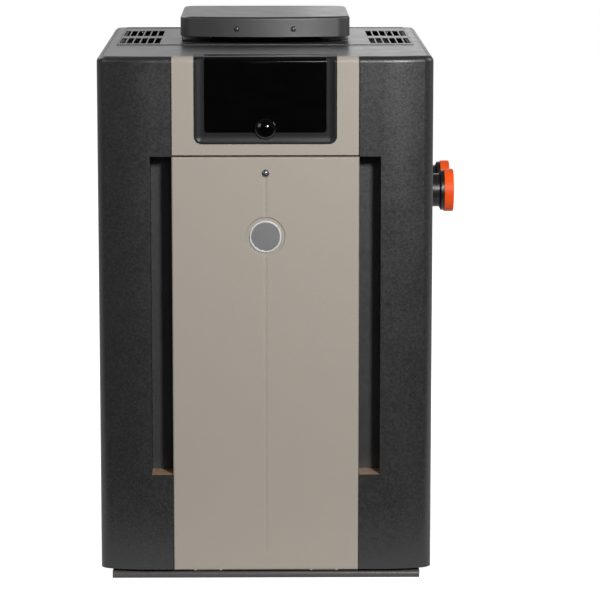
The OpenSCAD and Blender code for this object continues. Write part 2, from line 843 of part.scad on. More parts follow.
module front_door() color(taupe) {
    ridge = groove_w / 2 + sheet;
    backing = dish_d / 2 + sheet;
    groove_z0 = door_z0 + groove_end;
    groove_l = door_h - 2 * groove_end;
    difference() {
        union() {
            difference() {
                translate([0, yf, door_z0]) soft_slab(door_w, door_h, door_depth, door_bend);
                translate([0, yf + sheet, door_z0 + sheet])
                    soft_slab(door_w - 2 * sheet, door_h - 2 * sheet, door_depth, door_bend - sheet);
            }
            translate([0, 0, groove_z0]) linear_extrude(groove_l)
                polygon([[-ridge, yf + sheet / 2], [ridge, yf + sheet / 2], [ridge, yf + sheet],
                    [0, yf + sheet + groove_d], [-ridge, yf + sheet]]);
            rod_y([0, yf + sheet / 2, badge_z], backing, dish_depth + sheet / 2);
        }
        translate([0, 0, groove_z0]) linear_extrude(groove_l)
            polygon([[-groove_w / 2, yf], [0, yf - cut], [groove_w / 2, yf], [0, yf + groove_d]]);
        translate([0, yf - cut, badge_z]) rotate([-90, 0, 0])
            cylinder(r1 = dish_d / 2 + cut, r2 = dish_d / 2 - dish_depth, h = dish_depth + cut);
        rod_y([0, yf - cut, screw_z], screw_d / 2 + screw_clear, sheet + 2 * cut);
    }
    for (s = [-1, 1]) door_hook(s * hook_x);
}

// A tab that curls round the rolled front edge of the base
module door_hook(x) {
    x0 = x - hook_w / 2;
    x1 = x + hook_w / 2;
    span([x0, min(yf + door_depth, edge_y) - sheet, door_z0], [x1, edge_y + sheet / 2, door_z0 + sheet]);
    span([x0, edge_y - sheet, edge_r + hook_r], [x1, edge_y + sheet / 2, door_z0 + sheet]);
    translate([0, edge_y, edge_r]) sideways(x0, x1) intersection() {
        difference() {
            circle(r = hook_r + sheet);
            circle(r = hook_r);
        }
        square(hook_r + 2 * sheet);
    }
}

module door_screw() color(steel) {
    rise = 3;
    slot = 1.4;
    dome = (pow(screw_head_d / 2, 2) + rise * rise) / (2 * rise);
    shank = cross_y - yf + 12;
    difference() {
        union() {
            rod_y([0, yf - rise / 2, screw_z], screw_d / 2, shank + rise / 2);
            intersection() {
                translate([0, yf - rise + dome, screw_z]) sphere(r = dome);
                rod_y([0, yf - 2 * rise, screw_z], screw_head_d / 2, 2 * rise);
            }
        }
        for (a = [0, 90])
            translate([0, yf - rise, screw_z]) rotate([0, a, 0])
                cube([screw_head_d / 2, rise, slot], center = true);
    }
}

module door_rivet_nut() color(steel)
    translate([0, cross_y - sheet, screw_z]) rotate([-90, 0, 0]) difference() {
        union() {
            cylinder(r = screw_d / 2 + 5, h = sheet);
            cylinder(r = screw_d / 2 + 2.5, h = nut_l);
        }
        translate([0, 0, -cut]) cylinder(r = screw_d / 2 + screw_clear, h = nut_l + 2 * cut);
    }

module door_badge() color(steel)
    translate([0, yf + dish_depth, badge_z]) rotate([90, 0, 0]) {
        rim = 2.5;
        cylinder(r = badge_d / 2, h = 0.7 * badge_t);
        difference() {
            cylinder(r = badge_d / 2, h = badge_t);
            cylinder(r = badge_d / 2 - rim, h = badge_t + cut);
        }
    }

module cross_rail() color(painted) {
    rivet = screw_d / 2 + 2.6;
    tab_d = 25;
    difference() {
        span([-post_x0, cross_y, cross_z0], [post_x0, cross_y + sheet, fascia_z0]);
        rod_y([0, cross_y - cut, screw_z], rivet, sheet + 2 * cut);
    }
    span([-post_x0, cross_y, fascia_z0 - sheet], [post_x0, cross_y + cross_top_d, fascia_z0]);
    span([-post_x0, cross_y, cross_z0], [post_x0, cross_y + shelf_d, cross_z0 + sheet]);
    both_sides()
        span([post_x0 - sheet, cross_y, cross_z0], [post_x0, cross_y + tab_d, fascia_z0]);
}

module upper_fascia() color(taupe) {
    fascia_foot = cross_y + cross_top_d - yf;
    difference() {
        translate([0, yf, 0]) rotate([0, 0, -90]) along_y(-door_w / 2, door_w / 2)
            wall_profile(fascia_z0, fascia_foot);
        upright(yf - cut, yf + roll_r + lip + cut)
            u_outline(bezel_w + 2 * gap, bezel_z0 - gap, bezel_r + gap);
    }
    both_sides()
        span([door_w / 2 - sheet, yf + sheet / 2, fascia_z0], [door_w / 2, yf + door_depth, wall_top]);
}

// Control panel

module control_bezel() color(black) {
    open_x = flap_w / 2 + flap_gap;
    open_z = flap_z0 - flap_gap;
    cove_x = bezel_w / 2 - bezel_r;
    cove_z = bezel_z0 + bezel_r;
    difference() {
        union() {
            intersection() {
                sideways(-bezel_w / 2 - cut, bezel_w / 2 + cut) bezel_profile();
                upright(yf - cut, yf + 2 * bezel_back) u_outline(bezel_w, bezel_z0, bezel_r);
            }
            intersection() {
                upright(yf + sheet, yf + sheet + bezel_flange_t)
                    u_outline(bezel_w + 2 * bezel_flange, bezel_z0 - bezel_flange, bezel_r + bezel_flange);
                span([-bezel_w, yf, 0], [bezel_w, yr, wall_top - sheet]);
            }
        }
        upright(yf - cut, hinge_y + knuckle_r + hinge_gap)
            u_outline(2 * open_x, open_z, flap_r + flap_gap);
        both_sides() {
            translate([cove_x, yf, cove_z]) linear_extrude(bezel_h) cove_outline();
            translate([cove_x, yf, cove_z]) rotate([-90, 0, 0]) rotate_extrude(angle = 90) cove_outline();
            rod_x([open_x - cut, hinge_y, hinge_z], pin_r, pin_out + cut);
        }
        translate([0, yf, cove_z]) rotate([0, 90, 0]) linear_extrude(2 * cove_x, center = true)
            cove_outline();
        span([-cove_x, yf - cut, cove_z], [cove_x, yf + bevel_d, cab_h + cut]);
    }
}
// Half of a round hollow, drawn outwards along X from its deepest line
module cove_outline() {
    w = bezel_r - bezel_land;
    r = (w * w + bevel_d * bevel_d) / (2 * bevel_d);
    intersection() {
        translate([0, bevel_d - r]) circle(r = r);
        translate([0, -cut]) square([bezel_r, bevel_d + cut]);
    }
}

// Side view of the bezel: front wall, rolled corner and top wall
module bezel_profile() {
    difference() {
        union() {
            translate([yf, bezel_z0]) square([bezel_t, bezel_h]);
            translate([yf, cab_h - bezel_t]) square([bezel_back, bezel_t]);
        }
        translate([yf - cut, wall_top]) square([roll_r + cut, roll_r + cut]);
    }
    translate([yf + roll_r, wall_top]) circle(r = roll_r);
}

module control_flap() color(black)
    difference() {
        intersection() {
            sideways(-flap_w / 2, flap_w / 2) {
                translate([yf, flap_z0]) square([flap_t, wall_top - flap_z0]);
                translate([yf + roll_r, wall_top]) intersection() {
                    difference() {
                        circle(r = roll_r);
                        circle(r = roll_r - flap_t);
                    }
                    translate([-roll_r, 0]) square(roll_r);
                }
                translate([yf + roll_r, cab_h - flap_t]) square([hinge_back - roll_r, flap_t]);
                translate([hinge_y, hinge_z]) circle(r = knuckle_r);
            }
            upright(yf - cut, hinge_y + 2 * knuckle_r) u_outline(flap_w, flap_z0, flap_r);
        }
        both_sides()
            rod_x([flap_w / 2 - pin_in - cut, hinge_y, hinge_z], pin_r + pin_clear, pin_in + 2 * cut);
    }

module flap_pull() color(black) {
    dome = (pull_r * pull_r + pull_h * pull_h) / (2 * pull_h);
    stem_r = 7;
    intersection() {
        translate([0, yf - pull_gap - pull_h + dome, pull_z]) sphere(r = dome, $fn = 96);
        rod_y([0, yf - pull_gap - 2 * pull_h, pull_z], pull_r, 2 * pull_h);
    }
    rod_y([0, yf - pull_gap - pull_h / 2, flap_z0 + stem_r + 2], stem_r, pull_h / 2 + pull_gap);
}

module flap_hinge_pins() color(steel)
    both_sides()
        rod_x([flap_w / 2 - pin_in, hinge_y, hinge_z], pin_r, pin_in + flap_gap + pin_out);

function button_x(i) = (i - 1.5) * button_pitch;

module control_housing() color(black)
    difference() {
        span([-housing_w / 2, bezel_y1, housing_z0], [housing_w / 2, bezel_y1 + housing_d, housing_z1]);
        span([-well_x, bezel_y1 - cut, well_z0], [well_x, face_y, well_z1]);
        span([-housing_w / 2 + housing_wall, face_y + face_t, housing_z0 + housing_wall],
            [housing_w / 2 - housing_wall, bezel_y1 + housing_d + cut, housing_z1 - housing_wall]);
        translate([0, face_y, display_z]) cube([display_w, 4 * face_t, display_h], center = true);
        for (i = [0 : 3])
            rod_y([button_x(i), face_y - cut, button_z], button_d / 2 + button_clear, face_t + 2 * cut);
    }

module display() color("#9fb09a") {
    fit = 0.2;
    span([-display_w / 2 + fit, face_y - fit, display_z - display_h / 2 + fit],
        [display_w / 2 - fit, face_y + face_t, display_z + display_h / 2 - fit]);
    span([-display_w / 2 - display_rim, face_y + face_t, display_z - display_h / 2 - display_rim],
        [display_w / 2 + display_rim, face_y + face_t + 5, display_z + display_h / 2 + display_rim]);
}

// A push button with a retaining lip and a stem that reaches towards the board
module push_button(i) {
    r = button_d / 2;
    lip_y = face_y + face_t + button_clear;
    stem_y1 = board_y - button_travel - button_clear;
    translate([button_x(i), 0, button_z]) {
        rod_y([0, face_y - button_proud, 0], r, lip_y - face_y + button_proud);
        rod_y([0, lip_y, 0], r + button_lip, button_lip_t);
        rod_y([0, lip_y, 0], 0.4 * r, stem_y1 - lip_y);
    }
}
module menu_button() color(cast) push_button(0);
module mode_button() color(cast) push_button(1);
module down_button() color(cast) push_button(2);
module up_button() color(cast) push_button(3);

// The board on four standoffs, with a row of relays on its back
module circuit_board() color("#2f6b45") {
    edge = housing_wall + 3;
    x1 = housing_w / 2 - edge;
    z0 = housing_z0 + edge;
    z1 = housing_z1 - edge;
    standoff_r = 3;
    standoff_in = 2 * standoff_r;
    relay_w = 18;
    relay_d = 9;
    relay_h = 14;
    span([-x1, board_y, z0], [x1, board_y + board_t, z1]);
    for (x = [-x1 + standoff_in, x1 - standoff_in], z = [z0 + standoff_in, z1 - standoff_in])
        rod_y([x, face_y + face_t, z], standoff_r, board_y - face_y - face_t + board_t / 2);
    for (i = [-2 : 2])
        translate([(1.6 * i - 0.5) * relay_w, board_y + board_t / 2, display_z])
            cube([relay_w, relay_d + board_t / 2, relay_h]);
}

// Flue

module flue_cover() color(painted) translate([0, flue_y, cover_z0]) {
    difference() {
        union() {
            translate([0, -cover_d / 2, 0]) rotate([0, 0, -90]) along_y(-cover_bow_x, cover_bow_x)
                cover_profile();
            both_sides() difference() {
                translate([cover_bow_x, cover_bow_y, 0]) rotate([0, 0, -90])
                    rotate_extrude(angle = 2 * bow_angle, $fn = bow_fn)
                        translate([cover_bow_rad, 0]) cover_profile();
                beyond_bow(cover_x, cover_front_y);
            }
        }
        both_sides() at_cover_screw()
            rod_y([0, -cut, 0], panel_screw_r + panel_screw_clear, sheet + 2 * cut);
    }
    both_sides() {
        intersection() {
            translate([cover_x, cover_front_y, 0]) rotate([0, 0, -90]) cover_corner();
            beyond_bow(cover_x, cover_front_y);
        }
        translate([cover_w / 2, 0, 0]) along_y(cover_front_y, cover_back_y) cover_profile();
        translate([cover_x, cover_back_y, 0]) cover_corner();
    }
    translate([0, cover_d / 2, 0]) rotate([0, 0, 90]) along_y(-cover_x, cover_x) cover_profile();
    span([-cover_x - cut, cover_front_y - cut, cover_h - sheet],
        [cover_x + cut, cover_back_y + cut, cover_h]);
}
// Cross-section of the cover: skirt, rolled edge and a strip of the top
module cover_profile() {
    translate([-sheet, 0]) square([sheet, cover_h - cover_roll]);
    rolled_edge(cover_roll, cover_h);
    translate([-cover_strip, cover_h - sheet]) square([cover_strip - cover_roll, sheet]);
}
module cover_corner()
    rotate_extrude(angle = 90) intersection() {
        translate([cover_r, 0]) cover_profile();
        square([2 * cover_r, 2 * cover_h]);
    }
// The place of a screw on the bowed front of the cover
module at_cover_screw()
    translate([cover_bow_x, cover_bow_y, cover_screw_z]) rotate([0, 0, cover_screw_angle])
        translate([0, -cover_bow_rad, 0]) children();

module flue_cover_legs() color(painted) {
    wall_x = cover_w / 2 - sheet;
    foot_l = 18;
    rise = 0.6 * (cover_h - cover_roll);
    both_sides() for (s = [-1, 1]) translate([0, flue_y + s * leg_y - leg_w / 2, cab_h]) {
        translate([wall_x - foot_l, 0, 0]) cube([foot_l, leg_w, sheet]);
        translate([wall_x - sheet, 0, 0]) cube([sheet, leg_w, cover_gap + rise]);
    }
}

module flue_collar() color(steel)
    translate([0, flue_y, 0]) difference() {
        union() {
            span([-collar_w / 2, -collar_d / 2, collar_z0], [collar_w / 2, collar_d / 2, cab_h + collar_rim]);
            span([-collar_w / 2 - collar_flange, -collar_d / 2 - collar_flange, collar_z0],
                [collar_w / 2 + collar_flange, collar_d / 2 + collar_flange, collar_z0 + sheet]);
        }
        span([-collar_w / 2 + sheet, -collar_d / 2 + sheet, collar_z0 - cut],
            [collar_w / 2 - sheet, collar_d / 2 - sheet, cab_h + collar_rim + cut]);
    }

// Hood that narrows from the tube bundle to the flue collar
module flue_collector() color(steel) {
    difference() {
        hood(0);
        hood(sheet);
    }
    translate([0, flue_y, collar_z0 - sheet]) linear_extrude(sheet) difference() {
        square([collar_w + 2 * collar_flange, collar_d + 2 * collar_flange], center = true);
        square([collar_w - 2 * sheet, collar_d - 2 * sheet], center = true);
    }
}
module hood(inset) {
    over = inset > 0 ? cut : 0;
    x0 = chamber_x - inset;
    x1 = collar_w / 2 + collar_flange - inset;
    y1 = collar_d / 2 + collar_flange - inset;
    z0 = bundle_z1;
    z1 = collar_z0;
    intersection() {
        upright(chamber_y0 + inset, chamber_y1 - inset)
            polygon([[-x0, z0 - over], [x0, z0 - over], [x0, z0], [x1, z1], [x1, z1 + over],
                [-x1, z1 + over], [-x1, z1], [-x0, z0]]);
        sideways(-x0, x0)
            polygon([[chamber_y0 + inset, z0 - over], [chamber_y1 - inset, z0 - over],
                [chamber_y1 - inset, z0], [flue_y + y1, z1], [flue_y + y1, z1 + over],
                [flue_y - y1, z1 + over], [flue_y - y1, z1], [chamber_y0 + inset, z0]]);
    }
}

// Heat exchanger

function tube_y(i) = chamber_y + (i - (tube_n - 1) / 2) * tube_pitch;

// Half of a finned tube's section: bore, ends and a comb of fins
function fin_count() = floor((chamber_w - 2 * tube_sheet_t - 2 * fin_pitch) / fin_pitch);
function fin_x(i) = (i - (fin_count() - 1) / 2) * fin_pitch - fin_t / 2;
module finned_tube() {
    r = tube_d / 2;
    comb = [for (i = [0 : fin_count() - 1])
        each [[r, fin_x(i)], [fin_d / 2, fin_x(i)], [fin_d / 2, fin_x(i) + fin_t], [r, fin_x(i) + fin_t]]];
    rotate([0, 90, 0]) rotate_extrude()
        polygon(concat([[r - tube_wall, -chamber_x], [r, -chamber_x]], comb,
            [[r, chamber_x], [r - tube_wall, chamber_x]]));
}
module finned_tubes() color(copper)
    for (i = [0 : tube_n - 1])
        translate([0, tube_y(i), port_z]) finned_tube();

module bolt_holes(x0, x1)
    for (i = [0 : bolt_n - 1], s = [-1, 1])
        rod_x([x0 - cut, bolt_y(i), port_z + s * bolt_z], bolt_d / 2 + bolt_clear, x1 - x0 + 2 * cut);
function bolt_y(i) = chamber_y + (i / (bolt_n - 1) - 0.5) * 2 * (header_y - bolt_d);

module tube_sheets() color(steel)
    both_sides() difference() {
        span([chamber_x - tube_sheet_t, chamber_y0 + sheet, bundle_z0],
            [chamber_x, chamber_y1 - sheet, bundle_z1]);
        for (i = [0 : tube_n - 1])
            rod_x([chamber_x - tube_sheet_t - cut, tube_y(i), port_z], tube_d / 2 + tube_clear,
                tube_sheet_t + 2 * cut);
        bolt_holes(chamber_x - tube_sheet_t, chamber_x);
    }

// Opening of a header towards the tubes
module water_way(x0, x1)
    span([x0, chamber_y - header_y + header_wall, port_z - header_z + header_wall],
        [x1, chamber_y + header_y - header_wall, port_z + header_z - header_wall]);

module header_casting()
    difference() {
        union() {
            translate([0, chamber_y, port_z]) sideways(header_x0, header_x1)
                round_rect(2 * flange_y, 2 * flange_z, 8);
            translate([0, chamber_y, port_z]) sideways(header_x0, header_x2)
                round_rect(2 * header_y, 2 * header_z, 14);
        }
        water_way(header_x0 - cut, header_x2 - header_wall);
        bolt_holes(header_x0, header_x1);
    }

module return_header() color(cast)
    mirror([1, 0, 0]) header_casting();

module in_out_header() color(cast)
    difference() {
        union() {
            header_casting();
            span([header_x0, chamber_y - header_wall / 2, port_z - header_z + header_wall / 2],
                [header_x2 - header_wall / 2, chamber_y + header_wall / 2,
                    port_z + header_z - header_wall / 2]);
        }
        for (y = port_y)
            rod_x([header_x0, y, port_z], pipe_r + pipe_fit, header_x2 - header_x0 + cut);
    }

module header_gaskets() color(black)
    both_sides() difference() {
        translate([0, chamber_y, port_z]) sideways(chamber_x, header_x0)
            round_rect(2 * flange_y, 2 * flange_z, 8);
        water_way(chamber_x - cut, header_x0 + cut);
        bolt_holes(chamber_x, header_x0);
    }

module header_bolts() color(steel)
    both_sides() for (i = [0 : bolt_n - 1], s = [-1, 1])
        translate([0, bolt_y(i), port_z + s * bolt_z]) {
            rod_x([chamber_x - tube_sheet_t, 0, 0], bolt_d / 2, header_x1 - chamber_x + tube_sheet_t + 1);
            translate([header_x1, 0, 0]) rotate([0, 90, 0])
                cylinder(r = 0.85 * bolt_d, h = 0.7 * bolt_d, $fn = 6);
        }

// Bent strips that guide the flue gas round the upper side of the tubes
module flue_baffles() color(steel) {
    x = chamber_x - tube_sheet_t;
    arm = 0.2 * tube_pitch;
    low = 0.2 * fin_d;
    for (i = [0 : tube_n - 2])
        translate([0, (tube_y(i) + tube_y(i + 1)) / 2, port_z + low]) sideways(-x, x)
            polygon([[0, 0], [arm, arm], [arm, arm + 2 * sheet], [0, 2 * sheet], [-arm, arm + 2 * sheet],
                [-arm, arm]]);
}

// Water pipes

// A pipe that leaves the header, with a socket at its end
module water_pipe(y) {
    r0 = pipe_r - pipe_wall;
    x0 = header_x2 - header_wall;
    socket_floor = socket_x0 + 4;
    bore = pipe_r + socket_clear;
    chamfer = 1;
    translate([0, y, port_z]) rotate([0, 90, 0]) rotate_extrude()
        polygon([[r0, x0], [pipe_r, x0], [pipe_r, socket_x0 - 3], [socket_d / 2, socket_x0],
            [socket_d / 2, pipe_x1 - chamfer], [socket_d / 2 - chamfer, pipe_x1], [bore, pipe_x1],
            [bore, socket_floor], [r0, socket_floor]]);
}
module inlet_pipe() color(black) water_pipe(port_y[0]);
module outlet_pipe() color(black) water_pipe(port_y[1]);

module pipe_cap(y) {
    r0 = socket_d / 2 + cap_clear;
    r1 = cap_d / 2;
    x1 = pipe_x1 + cap_clear + cap_end;
    edge = 1.2;
    translate([0, y, port_z]) rotate([0, 90, 0]) rotate_extrude()
        polygon([[0, x1 - cap_end], [r0, x1 - cap_end], [r0, pipe_x1 - cap_l], [r1, pipe_x1 - cap_l],
            [r1, x1 - edge], [r1 - edge, x1], [0, x1]]);
}
module inlet_cap() color("#f0521e") pipe_cap(port_y[0]);
module outlet_cap() color("#f0521e") pipe_cap(port_y[1]);

// A rubber ring clipped into each pipe hole of the side panel
module pipe_grommets() color(black)
    for (y = port_y) translate([side_x, y, port_z]) rotate([0, 90, 0]) rotate_extrude() {
        lip_t = 2.5;
        lip_r = pipe_hole_r + 4;
        polygon([[pipe_r + pipe_fit, -sheet - lip_t], [lip_r, -sheet - lip_t], [lip_r, -sheet],
            [pipe_hole_r - pipe_fit, -sheet], [pipe_hole_r - pipe_fit, 0], [lip_r, 0],
            [lip_r - 1, lip_t], [pipe_r + pipe_fit, lip_t]]);
    }

module fitting(y, z, r, h, body_r, body_h, up) {
    translate([fitting_x, y, z]) mirror([0, 0, up ? 0 : 1]) {
        cylinder(r = r, h = h);
        translate([0, 0, h]) cylinder(r = body_r, h = body_h);
    }
}
module pressure_switch() color("#33373d") {
    y = chamber_y - 0.7 * header_y;
    stub_h = 12;
    can_h = 20;
    tab = [2, 6, 18];
    tab_gap = 14;
    fitting(y, port_z + header_z, 6, stub_h, 16, can_h, true);
    for (s = [-1, 1])
        translate([fitting_x, y + s * tab_gap / 2, port_z + header_z + stub_h + can_h])
            cube(tab, center = true);
}
module limit_switches() color("#2b2b2b")
    for (i = [0, 1]) {
        y = chamber_y + (0.4 + 0.3 * i) * header_y;
        fitting(y, port_z + header_z, 11, 5, 9, 9, true);
    }
module drain_plug() color(brass)
    fitting(chamber_y - 0.8 * header_y, port_z - header_z, 9, 7, 13, 9, false);

// Burners and gas train

module chamber_shell() color(steel) {
    both_sides()
        span([chamber_x - sheet, chamber_y0, tray_z], [chamber_x, chamber_y1, bundle_z0]);
    for (y = [chamber_y0, chamber_y1 - sheet])
        span([-chamber_x, y, tray_z], [chamber_x, y + sheet, bundle_z1]);
}

// Four boards, with a joint left open between them
module refractory_panels() color(ceramic) {
    x = chamber_x - sheet;
    joint = 0.5;
    for (y = [chamber_y0 + sheet, chamber_y1 - sheet - refractory_t])
        span([-x, y, tray_z], [x, y + refractory_t, bundle_z0]);
    both_sides()
        span([x - refractory_t, chamber_y0 + sheet + refractory_t + joint, tray_z],
            [x, chamber_y1 - sheet - refractory_t - joint, bundle_z0]);
}

function burner_x(i) = (i - (burner_n - 1) / 2) * burner_pitch;
burner_fit = 0.2;
burner_back = 40;
side_fitting_x = chamber_x - 24;
side_fitting_z = burner_z + 20;
igniter_r = 7;
sensor_r = 5;

module burner_tray() color(steel) {
    rest_h = 12;
    difference() {
        union() {
            span([-chamber_x, chamber_y0, tray_floor], [chamber_x, chamber_y1, tray_floor + sheet]);
            both_sides()
                span([chamber_x - sheet, chamber_y0, base_h], [chamber_x, chamber_y1, tray_z]);
            span([-chamber_x, chamber_y1 - sheet, base_h], [chamber_x, chamber_y1, tray_z]);
            span([-chamber_x, chamber_y0, tray_floor], [chamber_x, chamber_y0 + sheet, tray_z]);
            span([-chamber_x, chamber_y1 - burner_back - rest_h, tray_floor],
                [chamber_x, chamber_y1 - burner_back, burner_z - burner_d / 2]);
        }
        for (i = [0 : burner_n - 1])
            rod_y([burner_x(i), chamber_y0 - cut, burner_z], burner_d / 2 + burner_fit, sheet + 2 * cut);
        rod_y([side_fitting_x, chamber_y0 - cut, side_fitting_z], igniter_r + burner_fit, sheet + 2 * cut);
        rod_y([-side_fitting_x, chamber_y0 - cut, side_fitting_z], sensor_r + burner_fit, sheet + 2 * cut);
        for (i = [0 : burner_n - 2])
            translate([(burner_x(i) + burner_x(i + 1)) / 2, chamber_y, tray_floor])
                cube([deck_slot_w, 3 * deck_slot_l, 4 * sheet], center = true);
    }
}

// A burner tube with a bell mouth in front and a slotted ribbon along its top
module burners() color(steel) {
    r = burner_d / 2;
    bell = 13;
    bell_out = 16;
    end_gap = 2;
    l = bell_out + chamber_d - burner_back - end_gap;
    mouth = 4;
    ribbon_w = 8;
    ribbon_h = 4;
    ribbon_y = 30;
    slot = 2;
    inset = 10;
    y0 = chamber_y0 - bell_out;
    for (i = [0 : burner_n - 1]) translate([burner_x(i), y0, burner_z]) difference() {
        union() {
            rotate([-90, 0, 0]) rotate_extrude()
                polygon([[r + mouth - sheet, 0], [r + mouth, 0], [r, bell], [r, l], [0, l],
                    [0, l - sheet], [r - sheet, l - sheet], [r - sheet, bell]]);
            span([-ribbon_w / 2, ribbon_y, r - sheet], [ribbon_w / 2, l - inset, r + ribbon_h]);
        }
        span([-slot / 2, ribbon_y + inset, 0], [slot / 2, l - 2 * inset, r + ribbon_h + cut]);
    }
}

module gas_manifold() color(cast) {
    x1 = max(burner_x(burner_n - 1), valve_x) + 24;
    r = manifold_d / 2;
    spud_r = 5;
    spud_l = manifold_front - 22;
    orifice_r = 1.2;
    pipe_wall_t = 3;
    difference() {
        union() {
            rod_x([-x1, manifold_y, burner_z], r, 2 * x1);
            for (s = [-1, 1])
                translate([s * x1, manifold_y, burner_z]) rotate([0, 90, 0])
                    cylinder(r = r + 3, h = 16, center = true, $fn = 8);
            rod_z([-valve_x, manifold_y, burner_z], gas_pipe_d / 2 + 4, manifold_boss_h);
            for (i = [0 : burner_n - 1])
                rod_y([burner_x(i), manifold_y, burner_z], spud_r, spud_l);
        }
        rod_x([-x1, manifold_y, burner_z], r - pipe_wall_t, 2 * x1);
        rod_z([-valve_x, manifold_y, burner_z], gas_pipe_d / 2 - pipe_wall_t, manifold_boss_h + cut);
        for (i = [0 : burner_n - 1])
            rod_y([burner_x(i), manifold_y, burner_z], orifice_r, spud_l + cut);
    }
}

module valve_nipple() color(cast)
    translate([-valve_x, manifold_y, nipple_z0]) difference() {
        cylinder(r = gas_pipe_d / 2, h = nipple_l);
        translate([0, 0, -cut]) cylinder(r = gas_pipe_d / 2 - 3, h = nipple_l + 2 * cut);
    }

module gas_valve() color(steel) translate([-valve_x, manifold_y, valve_z0]) {
    boss_r = gas_pipe_d / 2 + 5;
    edge = 8;
    lid_t = 4;
    lid_share = 0.8;
    screw_r = 4;
    screw_h = 3;
    z0 = valve_boss;
    z1 = z0 + valve_h;
    cylinder(r = boss_r, h = z0 + cut);
    translate([0, 0, z0]) linear_extrude(valve_h) round_rect(valve_w, valve_d, edge);
    translate([0, 0, z1]) linear_extrude(lid_t)
        round_rect(lid_share * valve_w, lid_share * valve_d, lid_share * edge);
    rod_z([0, 0, z1], coil_r, coil_h);
    rod_z([0, 0, z1 + coil_h], 0.5 * coil_r, coil_tip);
    rod_x([-valve_w / 2 - valve_spigot, 0, z0 + valve_h / 2], boss_r, valve_spigot + cut);
    rod_y([0, -valve_d / 2 - knob_gap - spindle_l, gas_z - valve_z0], spindle_r, spindle_l + 5 * cut);
    for (s = [-1, 1])
        rod_y([s * 0.38 * valve_w, -valve_d / 2 - screw_h, z0 + 0.8 * valve_h], screw_r, 2 * screw_h);
}

// Round knob with a finger bar, turning about the valve's spindle
module gas_valve_knob() color("#a8231c")
    translate([-valve_x, knob_y - knob_gap, gas_z]) rotate([90, 0, 0]) {
        bar_w = 12;
        difference() {
            union() {
                cylinder(r = knob_r, h = 0.35 * knob_h);
                intersection() {
                    cylinder(r = knob_r - 1, h = knob_h);
                    translate([-bar_w / 2, -knob_r, 0]) cube([bar_w, 2 * knob_r, knob_h]);
                }
            }
            translate([0, 0, -cut]) cylinder(r = spindle_r + spindle_clear, h = spindle_l + 2 * cut);
        }
    }

// Pipe from the valve to a threaded coupling behind the left side panel
module gas_inlet_pipe() color(cast)
    translate([0, manifold_y, gas_z]) difference() {
        union() {
            rod_x([gas_end_x, 0, 0], gas_pipe_d / 2, valve_inlet_x - gas_end_x);
            rod_x([gas_end_x, 0, 0], coupling_d / 2, 2 * coupling_l);
        }
        rod_x([gas_end_x - cut, 0, 0], gas_pipe_d / 2 - 3, valve_inlet_x - gas_end_x + 2 * cut);
        rod_x([gas_end_x - cut, 0, 0], coupling_r, coupling_l + cut);
    }

module igniter() color(ceramic) {
    plate = 2;
    rim = 6;
    stem = 14;
    body_l = 34;
    tip = [8, 36, 3];
    translate([side_fitting_x, chamber_y0, side_fitting_z]) {
        rod_y([0, -stem, 0], igniter_r, body_l);
        rod_y([0, -plate, 0], igniter_r + rim, plate);
        translate([-tip[0] / 2, body_l - stem - plate, -tip[2] / 2]) cube(tip);
    }
}

module flame_sensor() color(ceramic) {
    plate = 2;
    rim = 6;
    stem = 16;
    body_l = 36;
    rod_r = 1.6;
    rod_l = 70;
    translate([-side_fitting_x, chamber_y0, side_fitting_z]) {
        rod_y([0, -stem, 0], sensor_r, body_l);
        rod_y([0, -plate, 0], sensor_r + rim, plate);
        rod_y([0, 0, 0], rod_r, rod_l);
    }
}

// Wiring

// A flat foot, a laminated core and a coil round its middle limb
module transformer() color("#6d6f73") translate([transformer_x, shelf_y, shelf_z]) {
    core_d = 0.4 * transformer_d;
    limb = 7;
    coil_edge = 5;
    linear_extrude(mount_t) square([transformer_w, transformer_d], center = true);
    linear_extrude(transformer_h) square([transformer_w, core_d], center = true);
    translate([0, 0, limb]) linear_extrude(transformer_h - 2 * limb)
        round_rect(0.62 * transformer_w, transformer_d, coil_edge);
}

// A moulded case with a fixing lug at each end and a row of blade terminals
module ignition_module() color("#2e3238") translate([module_x, module_y, shelf_z]) {
    case_r = 4;
    blade_pitch = 0.15 * module_w;
    blade_w = 12;
    blade_t = 2;
    blade_h = 8;
    linear_extrude(module_h) round_rect(module_w, module_d, case_r);
    linear_extrude(mount_t) round_rect(module_w + 2 * module_lug, 0.5 * module_d, case_r);
    for (i = [-2 : 2])
        translate([i * blade_pitch - blade_t / 2, -blade_w / 2, module_h - cut])
            cube([blade_t, blade_w, blade_h + cut]);
}

module junction_box() color(steel) {
    x1 = side_x - sheet;
    out = box_w / 2;
    in = out - box_wall;
    difference() {
        span([x1 - box_d, box_y - out, conduit_z - out], [x1, box_y + out, conduit_z + out]);
        span([x1 - box_d + box_wall, box_y - in, conduit_z - in],
            [x1 + cut, box_y + in, conduit_z + in]);
    }
}

// A straight cable between two points
module cable(a, b) {
    d = b - a;
    l = norm(d);
    translate(a) rotate([0, acos(d[2] / l), atan2(d[1], d[0])]) cylinder(r = loom_d / 2, h = l);
}
// Taped at each bend, where the loom is a little thicker
module wiring_loom() color(black) {
    for (i = [0 : len(loom) - 2]) cable(loom[i], loom[i + 1]);
    for (i = [1 : len(loom) - 2]) translate(loom[i]) sphere(r = 0.65 * loom_d);
}

